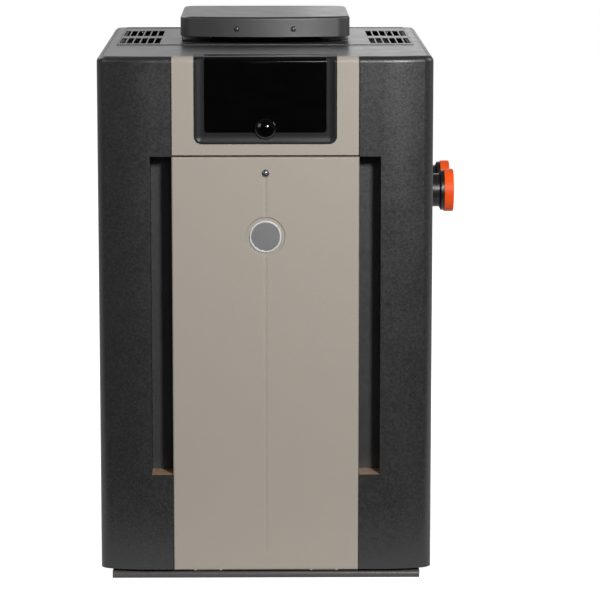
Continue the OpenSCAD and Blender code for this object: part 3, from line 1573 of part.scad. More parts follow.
base_pan();
left_corner_post();
right_corner_post();
left_side_panel();
right_side_panel();
rear_panel();
jacket_top();
top_grille();
upper_fascia();
cross_rail();
control_bezel();
control_flap();
flap_pull();
flap_hinge_pins();
front_door();
door_screw();
door_rivet_nut();
door_badge();
flue_cover();
flue_cover_legs();
flue_collar();
flue_collector();
finned_tubes();
tube_sheets();
return_header();
in_out_header();
header_gaskets();
header_bolts();
flue_baffles();
inlet_pipe();
outlet_pipe();
inlet_cap();
outlet_cap();
pipe_grommets();
chamber_shell();
refractory_panels();
burner_tray();
burners();
gas_manifold();
gas_valve();
gas_valve_knob();
valve_nipple();
gas_inlet_pipe();
igniter();
flame_sensor();
control_housing();
display();
menu_button();
mode_button();
down_button();
up_button();
circuit_board();
transformer();
ignition_module();
junction_box();
pressure_switch();
limit_switches();
drain_plug();
panel_screws();
wiring_loom();
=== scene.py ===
import bpy
import json
import math
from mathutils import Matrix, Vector

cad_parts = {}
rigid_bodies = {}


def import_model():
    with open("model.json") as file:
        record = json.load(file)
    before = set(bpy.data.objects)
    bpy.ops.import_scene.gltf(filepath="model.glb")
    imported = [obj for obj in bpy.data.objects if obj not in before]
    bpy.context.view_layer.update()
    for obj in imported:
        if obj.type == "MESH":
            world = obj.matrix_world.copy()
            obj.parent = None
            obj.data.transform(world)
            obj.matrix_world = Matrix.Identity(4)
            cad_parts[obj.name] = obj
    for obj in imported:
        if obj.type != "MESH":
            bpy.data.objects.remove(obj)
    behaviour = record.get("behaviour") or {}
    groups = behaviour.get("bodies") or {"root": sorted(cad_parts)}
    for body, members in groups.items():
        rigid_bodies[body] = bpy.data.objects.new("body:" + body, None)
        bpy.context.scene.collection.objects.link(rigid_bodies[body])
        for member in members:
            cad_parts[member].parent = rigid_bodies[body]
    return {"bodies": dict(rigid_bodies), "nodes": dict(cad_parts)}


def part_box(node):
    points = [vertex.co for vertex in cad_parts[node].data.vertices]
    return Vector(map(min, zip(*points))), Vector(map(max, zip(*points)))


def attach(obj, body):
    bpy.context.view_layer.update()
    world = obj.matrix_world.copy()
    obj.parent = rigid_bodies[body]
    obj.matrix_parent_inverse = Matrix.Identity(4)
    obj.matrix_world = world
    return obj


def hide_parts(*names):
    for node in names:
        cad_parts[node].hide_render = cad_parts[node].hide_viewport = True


# Dresses the heater's CAD pieces, replaces its plain loom, and sets up the floor, lamps and camera

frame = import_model()
NODES = frame["nodes"]

# The start-up file's own objects
for stray in list(bpy.data.objects):
    if stray not in NODES.values() and stray not in frame["bodies"].values():
        bpy.data.objects.remove(stray)
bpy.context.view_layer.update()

scene = bpy.context.scene
MM = 0.001


# Node building

# Spans of a noise's values: the middle, where most of them lie, and nearly all of them
MID_SPAN = (0.3, 0.7)
WIDE_SPAN = (0.2, 0.8)

EDGE_REACH = 0.9 * MM
EDGE_SAMPLES = 4
EDGE_SPAN = (0.80, 0.995)


def tint(colour, factor):
    """The colour times a factor, with no part over 1."""
    return tuple(min(1.0, c * factor) for c in colour)


class Tree:
    """A node tree, and short ways to add nodes to it."""

    def __init__(self, tree):
        self.tree = tree

    def node(self, kind, inputs=None, **settings):
        made = self.tree.nodes.new(kind)
        for key, value in settings.items():
            setattr(made, key, value)
        self.put(made, inputs or {})
        return made

    def put(self, node, inputs):
        """Links each input to a socket, or sets it to a plain value."""
        for key, value in inputs.items():
            if isinstance(value, bpy.types.NodeSocket):
                self.tree.links.new(value, node.inputs[key])
            else:
                node.inputs[key].default_value = value

    def math(self, operation, a, b=0.0):
        return self.node("ShaderNodeMath", {0: a, 1: b}, operation=operation).outputs[0]

    def plus(self, a, b):
        return self.math("ADD", a, b)

    def minus(self, a, b):
        return self.math("SUBTRACT", a, b)

    def times(self, a, b):
        return self.math("MULTIPLY", a, b)

    def most(self, a, b):
        return self.math("MAXIMUM", a, b)

    def more(self, a, b):
        """1 where a is more than b, and 0 elsewhere."""
        return self.math("GREATER_THAN", a, b)

    def less(self, a, b):
        """1 where a is less than b, and 0 elsewhere."""
        return self.math("LESS_THAN", a, b)

    def vector(self, operation, a, b, output="Vector"):
        made = self.node("ShaderNodeVectorMath", {0: a, 1: b}, operation=operation)
        return made.outputs[output]

    def part(self, vector, name):
        """The X, Y or Z of a vector."""
        return self.node("ShaderNodeSeparateXYZ", {0: vector}).outputs[name]

    def remap(self, value, low, high, out_low=0.0, out_high=1.0, smooth=False):
        """The value, stretched from one span to another and held inside it."""
        inputs = {"Value": value, "From Min": low, "From Max": high,
                  "To Min": out_low, "To Max": out_high}
        kind = "SMOOTHSTEP" if smooth else "LINEAR"
        return self.node("ShaderNodeMapRange", inputs, interpolation_type=kind).outputs["Result"]


class Shade(Tree):
    """A material with a Principled shader. Places and distances are in metres in the frame."""

    def __init__(self, name):
        self.material = bpy.data.materials.new(name)
        self.material.use_nodes = True
        super().__init__(self.material.node_tree)
        self.shader = self.tree.nodes["Principled BSDF"]
        self.place = self.node("ShaderNodeTexCoord").outputs["Object"]

    def finish(self, **inputs):
        """Sets the shader's sockets. An underscore in a name stands for a space."""
        self.put(self.shader, {k.replace("_", " "): v for k, v in inputs.items()})
        return self.material

    def stretched(self, scale):
        """The place, multiplied along each axis."""
        return self.vector("MULTIPLY", self.place, scale)

    def noise(self, scale, detail=2.0, roughness=0.5, place=None):
        """A noise with so many cells to the metre."""
        return self.node("ShaderNodeTexNoise", {
            "Vector": place or self.place, "Scale": scale, "Detail": detail,
            "Roughness": roughness}).outputs["Fac"]

    def cells(self, scale, output="Distance", feature="F1"):
        return self.node("ShaderNodeTexVoronoi", {
            "Vector": self.place, "Scale": scale}, feature=feature).outputs[output]

    def blend(self, amount, a, b):
        """Colour a where amount is 0, and colour b where it is 1."""
        made = self.node("ShaderNodeMix", data_type="RGBA")
        sockets = [s for s in made.inputs if s.type == "RGBA"]
        for socket, value in zip(sockets, (a, b)):
            if isinstance(value, bpy.types.NodeSocket):
                self.tree.links.new(value, socket)
            else:
                socket.default_value = (*value, 1.0)
        self.tree.links.new(amount, made.inputs["Factor"])
        return next(s for s in made.outputs if s.type == "RGBA")

    def tones(self, pattern, colour, low, high, span=MID_SPAN):
        """The colour, times one factor where the pattern is low and another where it is high."""
        return self.blend(self.remap(pattern, *span), tint(colour, low), tint(colour, high))

    def vary(self, pattern, low, high):
        """A level that follows the pattern from low to high."""
        return self.remap(pattern, *WIDE_SPAN, low, high)

    def axis(self, name):
        return self.part(self.place, name)

    def between(self, axis, low, high):
        """1 between two planes across an axis, and 0 outside them."""
        place = self.axis(axis)
        return self.times(self.more(place, low), self.less(place, high))

    def off(self, axis, middle):
        """The distance from a plane across an axis."""
        return self.math("ABSOLUTE", self.minus(self.axis(axis), middle))

    def from_line(self, a, a_middle, b, b_middle):
        """The distance from a line across two axes."""
        across, along = self.off(a, a_middle), self.off(b, b_middle)
        return self.math("SQRT", self.plus(self.times(across, across), self.times(along, along)))

    def below(self, low, high, inset, reach):
        """1 under a box, from an inset inside its sides, fading to 0 at a reach outside them."""
        under = self.less(self.axis("Z"), low.z)
        for axis, a, b in (("X", low.x, high.x), ("Y", low.y, high.y)):
            half = (b - a) / 2
            side = self.remap(self.off(axis, (a + b) / 2), half - inset, half + reach,
                              1.0, 0.0, smooth=True)
            under = self.times(under, side)
        return under

    def facing(self, name):
        """The X, Y or Z of the surface's direction."""
        return self.part(self.node("ShaderNodeTexCoord").outputs["Normal"], name)

    def soft_normal(self, radius):
        """The surface's direction with sharp edges rounded."""
        return self.node("ShaderNodeBevel", {"Radius": radius},
                         samples=EDGE_SAMPLES).outputs["Normal"]

    def edges(self, radius=EDGE_REACH):
        """1 along sharp edges, fading to 0 within the radius."""
        hard = self.node("ShaderNodeNewGeometry").outputs["Normal"]
        along = self.vector("DOT_PRODUCT", self.soft_normal(radius), hard, output="Value")
        return self.remap(along, *EDGE_SPAN, 1.0, 0.0)

    def rubbed(self, body, colour, amount, factor, radius=EDGE_REACH):
        """The body, with some of the colour times a factor along sharp edges."""
        return self.blend(self.times(self.edges(radius), amount), body, tint(colour, factor))

    def bump(self, height, depth, strength, round_edges=0.0):
        """A relief of the height, on a surface whose sharp edges may be rounded."""
        inputs = {"Height": height, "Distance": depth, "Strength": strength}
        if round_edges:
            inputs["Normal"] = self.soft_normal(round_edges)
        return self.node("ShaderNodeBump", inputs).outputs["Normal"]


# Paint

SPRAY_GRAIN = 620.0
FINE_SPRAY_GRAIN = 900.0
CLOUD_GRAIN = 22.0
MOTTLE_GRAIN = 210.0
PATCH_GRAIN = 160.0
LEDGE_LIGHT_GRAIN = 120.0
PEEL_GRAIN = 230.0
MOTTLE_LIGHT = 1.9
MOTTLE_GLOSS = 0.4
SEAM_DIRT = (0.020, 0.018, 0.016)
# Near-black painted shade, and how much rougher it makes the paint under it
SHADE_BLACK = (0.005, 0.005, 0.005)
SHADE_DULLS = 0.5
FACES_UP = 0.5
IS_LEVEL = 0.95
FACES_FRONT = -0.5


class Paint(Shade):
    """Sprayed and baked powder paint: a fine grain and clouds of gloss, then layer over layer."""

    def __init__(self, name, colour, rough, grain=SPRAY_GRAIN):
        super().__init__(name)
        self.colour = colour
        self.fine = self.noise(grain, detail=3.0, roughness=0.6)
        self.cloud = self.noise(CLOUD_GRAIN, detail=3.0, roughness=0.55)
        self.body = self.tones(self.fine, colour, low=0.80, high=1.22)
        self.sheen = self.plus(self.vary(self.fine, rough - 0.06, rough + 0.06),
                               self.vary(self.cloud, -0.04, 0.04))
        self.lay(self.remap(self.cloud, 0.25, 0.75, 0.0, 0.10), tint(colour, 0.72))

    def lay(self, mask, colour, dulls=0.0):
        """A colour over the paint where the mask is 1, which may dull it there."""
        self.body = self.blend(mask, self.body, colour)
        if dulls:
            self.roughen(self.times(mask, dulls))

    def roughen(self, amount):
        self.sheen = self.plus(self.sheen, amount)

    def mottle(self, amount):
        """Lighter spots that are also uneven in gloss."""
        spots = self.noise(MOTTLE_GRAIN, detail=3.0, roughness=0.6)
        gloss = MOTTLE_GLOSS * amount
        self.lay(self.remap(spots, 0.35, 0.65, 0.0, amount), tint(self.colour, MOTTLE_LIGHT))
        self.roughen(self.remap(spots, *MID_SPAN, -gloss, gloss))

    def edge_tint(self, colour):
        """Another colour along the edges, in patches: a lighter one is painted highlight, a darker
        one painted shade.
        """
        patches = self.remap(self.noise(PATCH_GRAIN), 0.35, 0.65, 0.25, 1.0)
        self.lay(self.times(self.edges(1.2 * MM), patches), colour)

    def painted_ledge_light(self, colour, low, high):
        """Painted warm light, in patches, on the faces that look up between two heights."""
        ledge = self.times(self.between("Z", low, high), self.more(self.facing("Z"), FACES_UP))
        amount = self.remap(self.noise(LEDGE_LIGHT_GRAIN, detail=4.0), 0.2, 0.6, 0.55, 1.0)
        self.lay(self.times(ledge, amount), colour)

    def dirty_sides(self, half, width):
        """A line of dirt along the upright edges of a panel that reaches to half on each side."""
        self.lay(self.remap(self.off("X", 0.0), half - width, half - width / 2), SEAM_DIRT)

    def pocket(self, colour, front):
        """Another colour on the faces that look forward from behind a plane."""
        deep = self.times(self.more(self.axis("Y"), front),
                          self.less(self.facing("Y"), FACES_FRONT))
        self.lay(deep, self.tones(self.fine, colour, low=0.85, high=1.15))

    def painted_shade_below(self, low, high, inset, reach):
        """Painted shade under a box: near black and duller, fading out past its sides."""
        amount = self.remap(self.cloud, 0.2, 0.7, 0.85, 1.0)
        self.lay(self.times(self.below(low, high, inset, reach), amount), SHADE_BLACK, SHADE_DULLS)

    def painted_shade_shelf(self, low, high):
        """Painted shade, near black and duller, on the level faces between two heights."""
        level = self.times(self.between("Z", low, high), self.more(self.facing("Z"), IS_LEVEL))
        self.lay(level, SHADE_BLACK, SHADE_DULLS)

    def dry_sides(self, amount):
        """Rougher paint on the faces that don't look up."""
        self.roughen(self.remap(self.facing("Z"), 0.3, 0.9, amount, 0.0))

    def cured(self, depth, specular=0.5, peel=0.0):
        """The finished material. Orange peel adds a coarser relief to the grain."""
        height = self.fine
        if peel:
            height = self.plus(self.fine, self.times(self.noise(PEEL_GRAIN), peel))
        return self.finish(Base_Color=self.body, Roughness=self.sheen, Specular_IOR_Level=specular,
                           Normal=self.bump(height, depth, 0.6, round_edges=0.6 * MM))


# In each of the five pairs below, the second colour goes along the edges: the lighter ones are
# painted highlight, and the flue cover's darker one is painted shade.
CHARCOAL = (0.0172, 0.0171, 0.0178)
CHARCOAL_EDGE_HIGHLIGHT = (0.030, 0.030, 0.031)
BASE_GREY = (0.070, 0.066, 0.064)
BASE_EDGE_HIGHLIGHT = (0.11, 0.10, 0.095)
TOP_GREY = (0.022, 0.022, 0.0235)
TOP_EDGE_HIGHLIGHT = (0.06, 0.06, 0.063)
COVER_GREY = (0.018, 0.018, 0.0188)
COVER_EDGE_SHADE = (0.009, 0.009, 0.0095)
TAUPE = (0.345, 0.308, 0.262)
TAUPE_EDGE_HIGHLIGHT = (0.42, 0.385, 0.34)
# Brown painted on the finger recesses' floors as warm reflected light
LEDGE_WARM_LIGHT = (0.42, 0.27, 0.17)
GRIP_FLOOR_Z = 0.184
GRIP_FLOOR_HALF = 3 * MM
GRIP_GREY = (0.042, 0.042, 0.042)
GRIP_BACK_Y = -0.32
TOP_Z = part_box("jacket_top")[1].z
SHELF_LOW_Z = TOP_Z - 14 * MM
SHELF_HIGH_Z = TOP_Z - 1 * MM
COVER_SHADE_INSET = 35 * MM
COVER_SHADE_REACH = 6 * MM
SEAM_WIDTH = 1.6 * MM


def charcoal_paint():
    """The posts and sides, with painted warm light on the floors of the finger recesses, and grey
    backs.
    """
    paint = Paint("charcoal_powder_coat", CHARCOAL, rough=0.38)
    paint.mottle(0.17)
    paint.edge_tint(CHARCOAL_EDGE_HIGHLIGHT)
    # Brown on the recess floors: painted warm reflected light
    paint.painted_ledge_light(LEDGE_WARM_LIGHT, GRIP_FLOOR_Z - GRIP_FLOOR_HALF, GRIP_FLOOR_Z + GRIP_FLOOR_HALF)
    paint.pocket(GRIP_GREY, GRIP_BACK_Y)
    return paint.cured(0.20 * MM, specular=0.70, peel=0.8)


def base_paint():
    paint = Paint("base_powder_coat", BASE_GREY, rough=0.36)
    paint.edge_tint(BASE_EDGE_HIGHLIGHT)
    return paint.cured(0.12 * MM)


def top_paint():
    """The top, with painted shade under the flue cover and on the ledges under its slots."""
    paint = Paint("top_powder_coat", TOP_GREY, rough=0.34)
    paint.edge_tint(TOP_EDGE_HIGHLIGHT)
    # Near-black painted shade under the flue cover and on the ledges under the slots
    paint.painted_shade_below(*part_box("flue_cover"), COVER_SHADE_INSET, COVER_SHADE_REACH)
    paint.painted_shade_shelf(SHELF_LOW_Z, SHELF_HIGH_Z)
    return paint.cured(0.16 * MM, specular=1.0, peel=0.4)


def cover_paint():
    """The flue cover, with drier paint on its sides."""
    paint = Paint("cover_powder_coat", COVER_GREY, rough=0.34)
    # A darker edge colour: painted shade along the cover's rolled edges
    paint.edge_tint(COVER_EDGE_SHADE)
    paint.dry_sides(0.15)
    return paint.cured(0.16 * MM, specular=1.0, peel=0.4)


def taupe_paint(name, half=None):
    """The door and the fascia. With half given, the panel's upright edges are dirty."""
    paint = Paint(name, TAUPE, rough=0.48, grain=FINE_SPRAY_GRAIN)
    paint.edge_tint(TAUPE_EDGE_HIGHLIGHT)
    if half:
        paint.dirty_sides(half, SEAM_WIDTH)
    return paint.cured(0.06 * MM)


# Plastic, rubber, metal and ceramic

BLACK = (0.012, 0.012, 0.013)
RUST = (0.11, 0.055, 0.03)
HEATED_COPPER = (0.22, 0.09, 0.05)
SCORCH = (0.55, 0.45, 0.32)
PRINT_WHITE = (0.72, 0.72, 0.70)


def moulded_plastic(name, colour, rough, grain=1100.0, depth=0.05 * MM, specular=0.5):
    """Plastic from a spark-eroded mould: a fine matt grain and slightly polished edges."""
    s = Shade(name)
    fine = s.noise(grain, roughness=0.6)
    cloud = s.noise(30.0, detail=3.0)
    edge = s.edges()
    body = s.tones(cloud, colour, low=0.88, high=1.12)
    body = s.blend(s.times(edge, 0.35), body, tint(colour, 1.7))
    sheen = s.minus(s.vary(fine, rough - 0.05, rough + 0.07), s.times(edge, 0.12))
    return s.finish(Base_Color=body, Roughness=sheen, Specular_IOR_Level=specular,
                    Normal=s.bump(fine, depth, 0.5, round_edges=0.5 * MM))


def polished_plastic(name, colour, rough):
    """Polished plastic: nearly smooth, with a faint ripple and hairline smears in the gloss."""
    s = Shade(name)
    ripple = s.noise(60.0)
    smear = s.noise(14.0, detail=5.0, roughness=0.6, place=s.stretched((1.0, 1.0, 3.0)))
    return s.finish(Base_Color=s.tones(smear, colour, low=0.8, high=1.25),
                    Roughness=s.remap(smear, 0.35, 0.75, rough, rough + 0.07),
                    Specular_IOR_Level=0.5,
                    Normal=s.bump(ripple, 0.10 * MM, 0.35, round_edges=0.5 * MM))


def soft_rubber(name, colour, rough=0.62, bloom=0.5, chalk=2.2, rounding=0.5 * MM, mark=None):
    """Moulded rubber with a chalky bloom. A mark makes the mask of a pale print from the shade."""
    s = Shade(name)
    fine = s.noise(800.0)
    cloud = s.noise(55.0, detail=4.0, roughness=0.6)
    body = s.blend(s.remap(cloud, 0.45, 0.8, 0.0, bloom), colour, tint(colour, chalk))
    if mark:
        body = s.blend(mark(s), body, PRINT_WHITE)
    return s.finish(Base_Color=body, Roughness=s.vary(fine, rough - 0.06, rough + 0.10),
                    Normal=s.bump(fine, 0.05 * MM, 0.5, round_edges=rounding))


def galvanised(name, colour, rough=0.38):
    """Zinc-coated steel: crystals of slightly different grey, drawn lines and bright edges."""
    s = Shade(name)
    crystal = s.node("ShaderNodeSeparateColor", {0: s.cells(130.0, "Color")}).outputs[0]
    lines = s.noise(900.0, roughness=0.6, place=s.stretched((0.06, 0.06, 1.0)))
    body = s.tones(crystal, colour, low=0.92, high=1.05, span=(0.0, 1.0))
    sheen = s.plus(s.remap(crystal, 0.0, 1.0, rough - 0.025, rough + 0.025),
                   s.vary(lines, -0.05, 0.08))
    return s.finish(Base_Color=s.rubbed(body, colour, amount=0.5, factor=1.4), Metallic=1.0,
                    Roughness=sheen,
                    Normal=s.bump(lines, 0.03 * MM, 0.4, round_edges=0.4 * MM))


def spun_metal(name, colour, centre, dish):
    """A disc finished on a lathe: fine rings round its centre, and a bright rim round the dish."""
    s = Shade(name)
    radius = s.from_line("X", centre.x, "Z", centre.z)
    spread = s.node("ShaderNodeCombineXYZ", {0: radius}).outputs[0]
    rings = s.noise(2400.0, roughness=0.6, place=spread)
    cloud = s.noise(60.0, detail=3.0)
    rim = s.more(radius, dish)
    body = s.tones(rings, colour, low=0.86, high=1.1, span=(0.25, 0.75))
    body = s.blend(s.remap(cloud, *MID_SPAN, 0.0, 0.25), body, tint(colour, 0.8))
    return s.finish(Base_Color=s.blend(rim, body, tint(colour, 1.65)), Metallic=1.0,
                    Roughness=s.plus(s.vary(rings, 0.30, 0.46), s.times(rim, 0.12)),
                    Normal=s.bump(rings, 0.03 * MM, 0.5, round_edges=0.5 * MM))


def cast_iron(name, colour):
    """Sand-cast iron: pitted and dull, rubbed brighter along its edges."""
    s = Shade(name)
    pits = s.noise(420.0, detail=5.0, roughness=0.65)
    rust = s.noise(35.0, detail=4.0)
    body = s.tones(pits, colour, low=0.7, high=1.3)
    body = s.blend(s.remap(rust, 0.56, 0.75, 0.0, 0.35), body, RUST)
    body = s.rubbed(body, colour, amount=0.5, factor=2.4, radius=1.5 * MM)
    return s.finish(Base_Color=body, Metallic=0.35, Roughness=s.vary(pits, 0.50, 0.75),
                    Normal=s.bump(pits, 0.25 * MM, 0.6, round_edges=0.8 * MM))


def dull_copper(name, colour):
    """Copper darkened by heat, with bright streaks where it is still clean."""
    s = Shade(name)
    heat = s.noise(40.0, detail=4.0)
    fine = s.noise(500.0)
    return s.finish(Base_Color=s.blend(s.remap(heat, 0.35, 0.7), colour, HEATED_COPPER),
                    Metallic=1.0, Roughness=s.vary(fine, 0.28, 0.50),
                    Normal=s.bump(fine, 0.04 * MM, 0.4))


def bright_metal(name, colour, rough, coated=None):
    """Turned or die-cast metal: a tight grain, dull hollows and bright edges.

    Coated makes the mask of a black plastic part from the shade.
    """
    s = Shade(name)
    grain = s.noise(650.0, detail=3.0)
    hollow = s.noise(45.0, detail=4.0)
    body = s.tones(hollow, colour, low=1.08, high=0.72, span=(0.3, 0.75))
    body = s.rubbed(body, colour, amount=0.6, factor=1.35)
    metal = 1.0
    if coated:
        plastic = coated(s)
        body = s.blend(plastic, body, BLACK)
        metal = s.minus(1.0, plastic)
    return s.finish(Base_Color=body, Metallic=metal,
                    Roughness=s.vary(grain, rough - 0.07, rough + 0.09),
                    Normal=s.bump(grain, 0.06 * MM, 0.5, round_edges=0.6 * MM))


def fired_ceramic(name, colour):
    """Pressed ceramic fibre: chalky, fibrous and lightly stained."""
    s = Shade(name)
    fibre = s.noise(300.0, detail=5.0, roughness=0.7, place=s.stretched((1.0, 1.0, 0.35)))
    stain = s.noise(18.0, detail=4.0)
    body = s.tones(fibre, colour, low=0.88, high=1.06)
    body = s.blend(s.remap(stain, 0.55, 0.8, 0.0, 0.4), body, SCORCH)
    return s.finish(Base_Color=body, Roughness=s.vary(fibre, 0.75, 0.95),
                    Normal=s.bump(fibre, 0.4 * MM, 0.5))


# Materials of pieces made of more than one stuff, told apart by their place in the part

BRASS = (0.62, 0.45, 0.18)
BLADE_METAL = (0.70, 0.62, 0.42)
SHEET_DARK = (0.17, 0.17, 0.175)
SHEET_LIGHT = (0.36, 0.36, 0.37)
TAPE_DARK = (0.30, 0.15, 0.03)
TAPE_LIGHT = (0.44, 0.25, 0.06)


def circuit_lacquer(name, colour, front, back):
    """A lacquered board with tracks, brass standoffs in front of it and black relays behind."""
    s = Shade(name)
    tracks = s.cells(170.0, feature="DISTANCE_TO_EDGE")
    fine = s.noise(700.0)
    relay = s.more(s.axis("Y"), back)
    post = s.less(s.axis("Y"), front)
    body = s.blend(s.remap(tracks, 0.03, 0.06, 1.0, 0.0), colour, tint(colour, 1.8))
    body = s.blend(post, s.blend(relay, body, BLACK), BRASS)
    return s.finish(Base_Color=body, Metallic=post, Roughness=s.vary(fine, 0.28, 0.44),
                    Normal=s.bump(tracks, 0.05 * MM, 0.4, round_edges=0.4 * MM))


def wound_core(name, middle_y, core_half, coil_z):
    """A transformer: a stack of steel sheets, and a coil under amber tape outside it."""
    s = Shade(name)
    coil = s.times(s.more(s.off("Y", middle_y), core_half), s.more(s.axis("Z"), coil_z))
    sheets = s.noise(1500.0, detail=1.0, place=s.stretched((0.02, 1.0, 0.02)))
    cloud = s.noise(60.0, detail=4.0)
    steel = s.blend(s.remap(sheets, *MID_SPAN), SHEET_DARK, SHEET_LIGHT)
    tape = s.blend(s.remap(cloud, *MID_SPAN), TAPE_DARK, TAPE_LIGHT)
    return s.finish(Base_Color=s.blend(coil, steel, tape), Metallic=s.minus(1.0, coil),
                    Roughness=s.vary(cloud, 0.34, 0.52),
                    Normal=s.bump(sheets, 0.08 * MM, 0.5, round_edges=0.4 * MM))


def terminal_case(name, colour, blade_z):
    """A moulded case whose blade terminals stand out of its top."""
    s = Shade(name)
    blade = s.more(s.axis("Z"), blade_z)
    fine = s.noise(900.0, roughness=0.6)
    body = s.tones(s.noise(40.0, detail=3.0), colour, low=0.85, high=1.15)
    return s.finish(Base_Color=s.blend(blade, body, BLADE_METAL), Metallic=blade,
                    Roughness=s.vary(fine, 0.36, 0.50),
                    Normal=s.bump(fine, 0.05 * MM, 0.5, round_edges=0.5 * MM))


def liquid_crystal(name, colour, middle_z, half_w, half_h):
    """An unlit display: a grey-green window with a faint ripple, in a black mask."""
    s = Shade(name)
    window = s.times(s.less(s.off("X", 0.0), half_w), s.less(s.off("Z", middle_z), half_h))
    cloud = s.noise(24.0, detail=3.0)
    fine = s.noise(1800.0, detail=1.0)
    glass = s.tones(cloud, colour, low=0.9, high=1.08)
    return s.finish(Base_Color=s.blend(window, BLACK, glass),
                    Roughness=s.remap(cloud, *MID_SPAN, 0.10, 0.18),
                    Normal=s.bump(fine, 0.01 * MM, 0.3, round_edges=0.4 * MM))


# Masks inside a piece. Each takes the shade and returns 1 where the mask applies.

ARROW_TIP = 3.4 * MM
ARROW_FOOT = -2.2 * MM
ARROW_SLOPE = 0.62
BAR_HALF_LENGTH = 3.6 * MM
BAR_PITCH = 1.3 * MM
BARS_HALF_HEIGHT = 3.4 * MM
RING_INNER = 2.2 * MM
RING_OUTER = 3.5 * MM


def coil_can(axis_x, axis_y, radius, low, high):
    """The upright coil on a valve."""
    def mask(s):
        inside = s.less(s.from_line("X", axis_x, "Y", axis_y), radius)
        return s.times(s.between("Z", low, high), inside)
    return mask


def arrow_mark(x, z, up):
    """A triangle that points up for up = 1, and down for up = -1."""
    def mask(s):
        rise = s.times(s.minus(s.axis("Z"), z), up)
        half = s.times(s.minus(ARROW_TIP, rise), ARROW_SLOPE)
        return s.times(s.more(rise, ARROW_FOOT), s.less(s.off("X", x), half))
    return mask


def bars_mark(x, z):
    """Three level bars."""
    def mask(s):
        wide = s.less(s.off("X", x), BAR_HALF_LENGTH)
        rows = s.math("PINGPONG", s.plus(s.off("Z", z), BAR_PITCH), BAR_PITCH)
        bars = s.times(wide, s.more(rows, BAR_PITCH / 2))
        return s.times(bars, s.less(s.off("Z", z), BARS_HALF_HEIGHT))
    return mask


def ring_mark(x, z):
    """A plain ring."""
    def mask(s):
        radius = s.from_line("X", x, "Z", z)
        return s.times(s.more(radius, RING_INNER), s.less(radius, RING_OUTER))
    return mask


# Which piece has which material

BADGE_LOW, BADGE_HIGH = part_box("door_badge")
BADGE_CENTRE = (BADGE_LOW + BADGE_HIGH) / 2
BADGE_RIM = 2.5 * MM
BADGE_DISH = (BADGE_HIGH.x - BADGE_LOW.x) / 2 - BADGE_RIM

BOARD_FRONT_Y, BOARD_BACK_Y = -0.306, -0.3044
CORE_MIDDLE_Y, CORE_HALF = -0.284, 0.0093
COIL_FOOT_Z = 0.6975
BLADE_FOOT_Z = 0.7212
VALVE_X, VALVE_Y = -0.095, -0.148
VALVE_COIL_R = 0.0152
VALVE_COIL_LOW_Z, VALVE_COIL_HIGH_Z = 0.2525, 0.282
WINDOW_Z, WINDOW_HALF_W, WINDOW_HALF_H = 0.850, 0.041, 0.0165
BUTTON_Z = 0.794
MENU_X, MODE_X, DOWN_X, UP_X = -0.060, -0.020, 0.020, 0.060
BUTTON_GREY = (0.11, 0.11, 0.115)


def button_rubber(name, mark):
    return soft_rubber(name, BUTTON_GREY, rough=0.56, bloom=0.4, chalk=1.6, rounding=0.6 * MM,
                       mark=mark)


# By the record's slot
FINISH = {
    "charcoal_paint": charcoal_paint(),
    "grey_paint": top_paint(),
    "taupe_paint": taupe_paint("taupe_powder_coat"),
    "dark_plastic": moulded_plastic("dark_moulded_plastic", BLACK, 0.38, specular=0.28),
    "black_gloss": polished_plastic("polished_black", (0.0012, 0.0012, 0.0014), 0.06),
    "zinc_steel": galvanised("galvanised_steel", (0.58, 0.59, 0.60)),
    "satin_badge": spun_metal("spun_badge", (0.56, 0.56, 0.57), BADGE_CENTRE, BADGE_DISH),
    "copper": dull_copper("dull_copper", (0.62, 0.30, 0.17)),
    "black_iron": cast_iron("cast_iron", (0.075, 0.075, 0.080)),
    "black_rubber": soft_rubber("black_rubber", (0.016, 0.016, 0.017)),
    "pipe_plastic": moulded_plastic("pipe_plastic", (0.014, 0.013, 0.013), 0.34,
                                    grain=500.0, depth=0.04 * MM),
    "orange_plastic": moulded_plastic("orange_plastic", (1.0, 0.095, 0.009), 0.44,
                                      grain=700.0, depth=0.03 * MM, specular=0.22),
    "ceramic": fired_ceramic("fired_ceramic", (0.78, 0.75, 0.68)),
    "red_plastic": moulded_plastic("red_plastic", (0.42, 0.022, 0.016), 0.32),
    "switch_plastic": moulded_plastic("switch_plastic", (0.040, 0.040, 0.044), 0.45),
    "plug_brass": bright_metal("turned_brass", (0.65, 0.48, 0.20), 0.30),
}
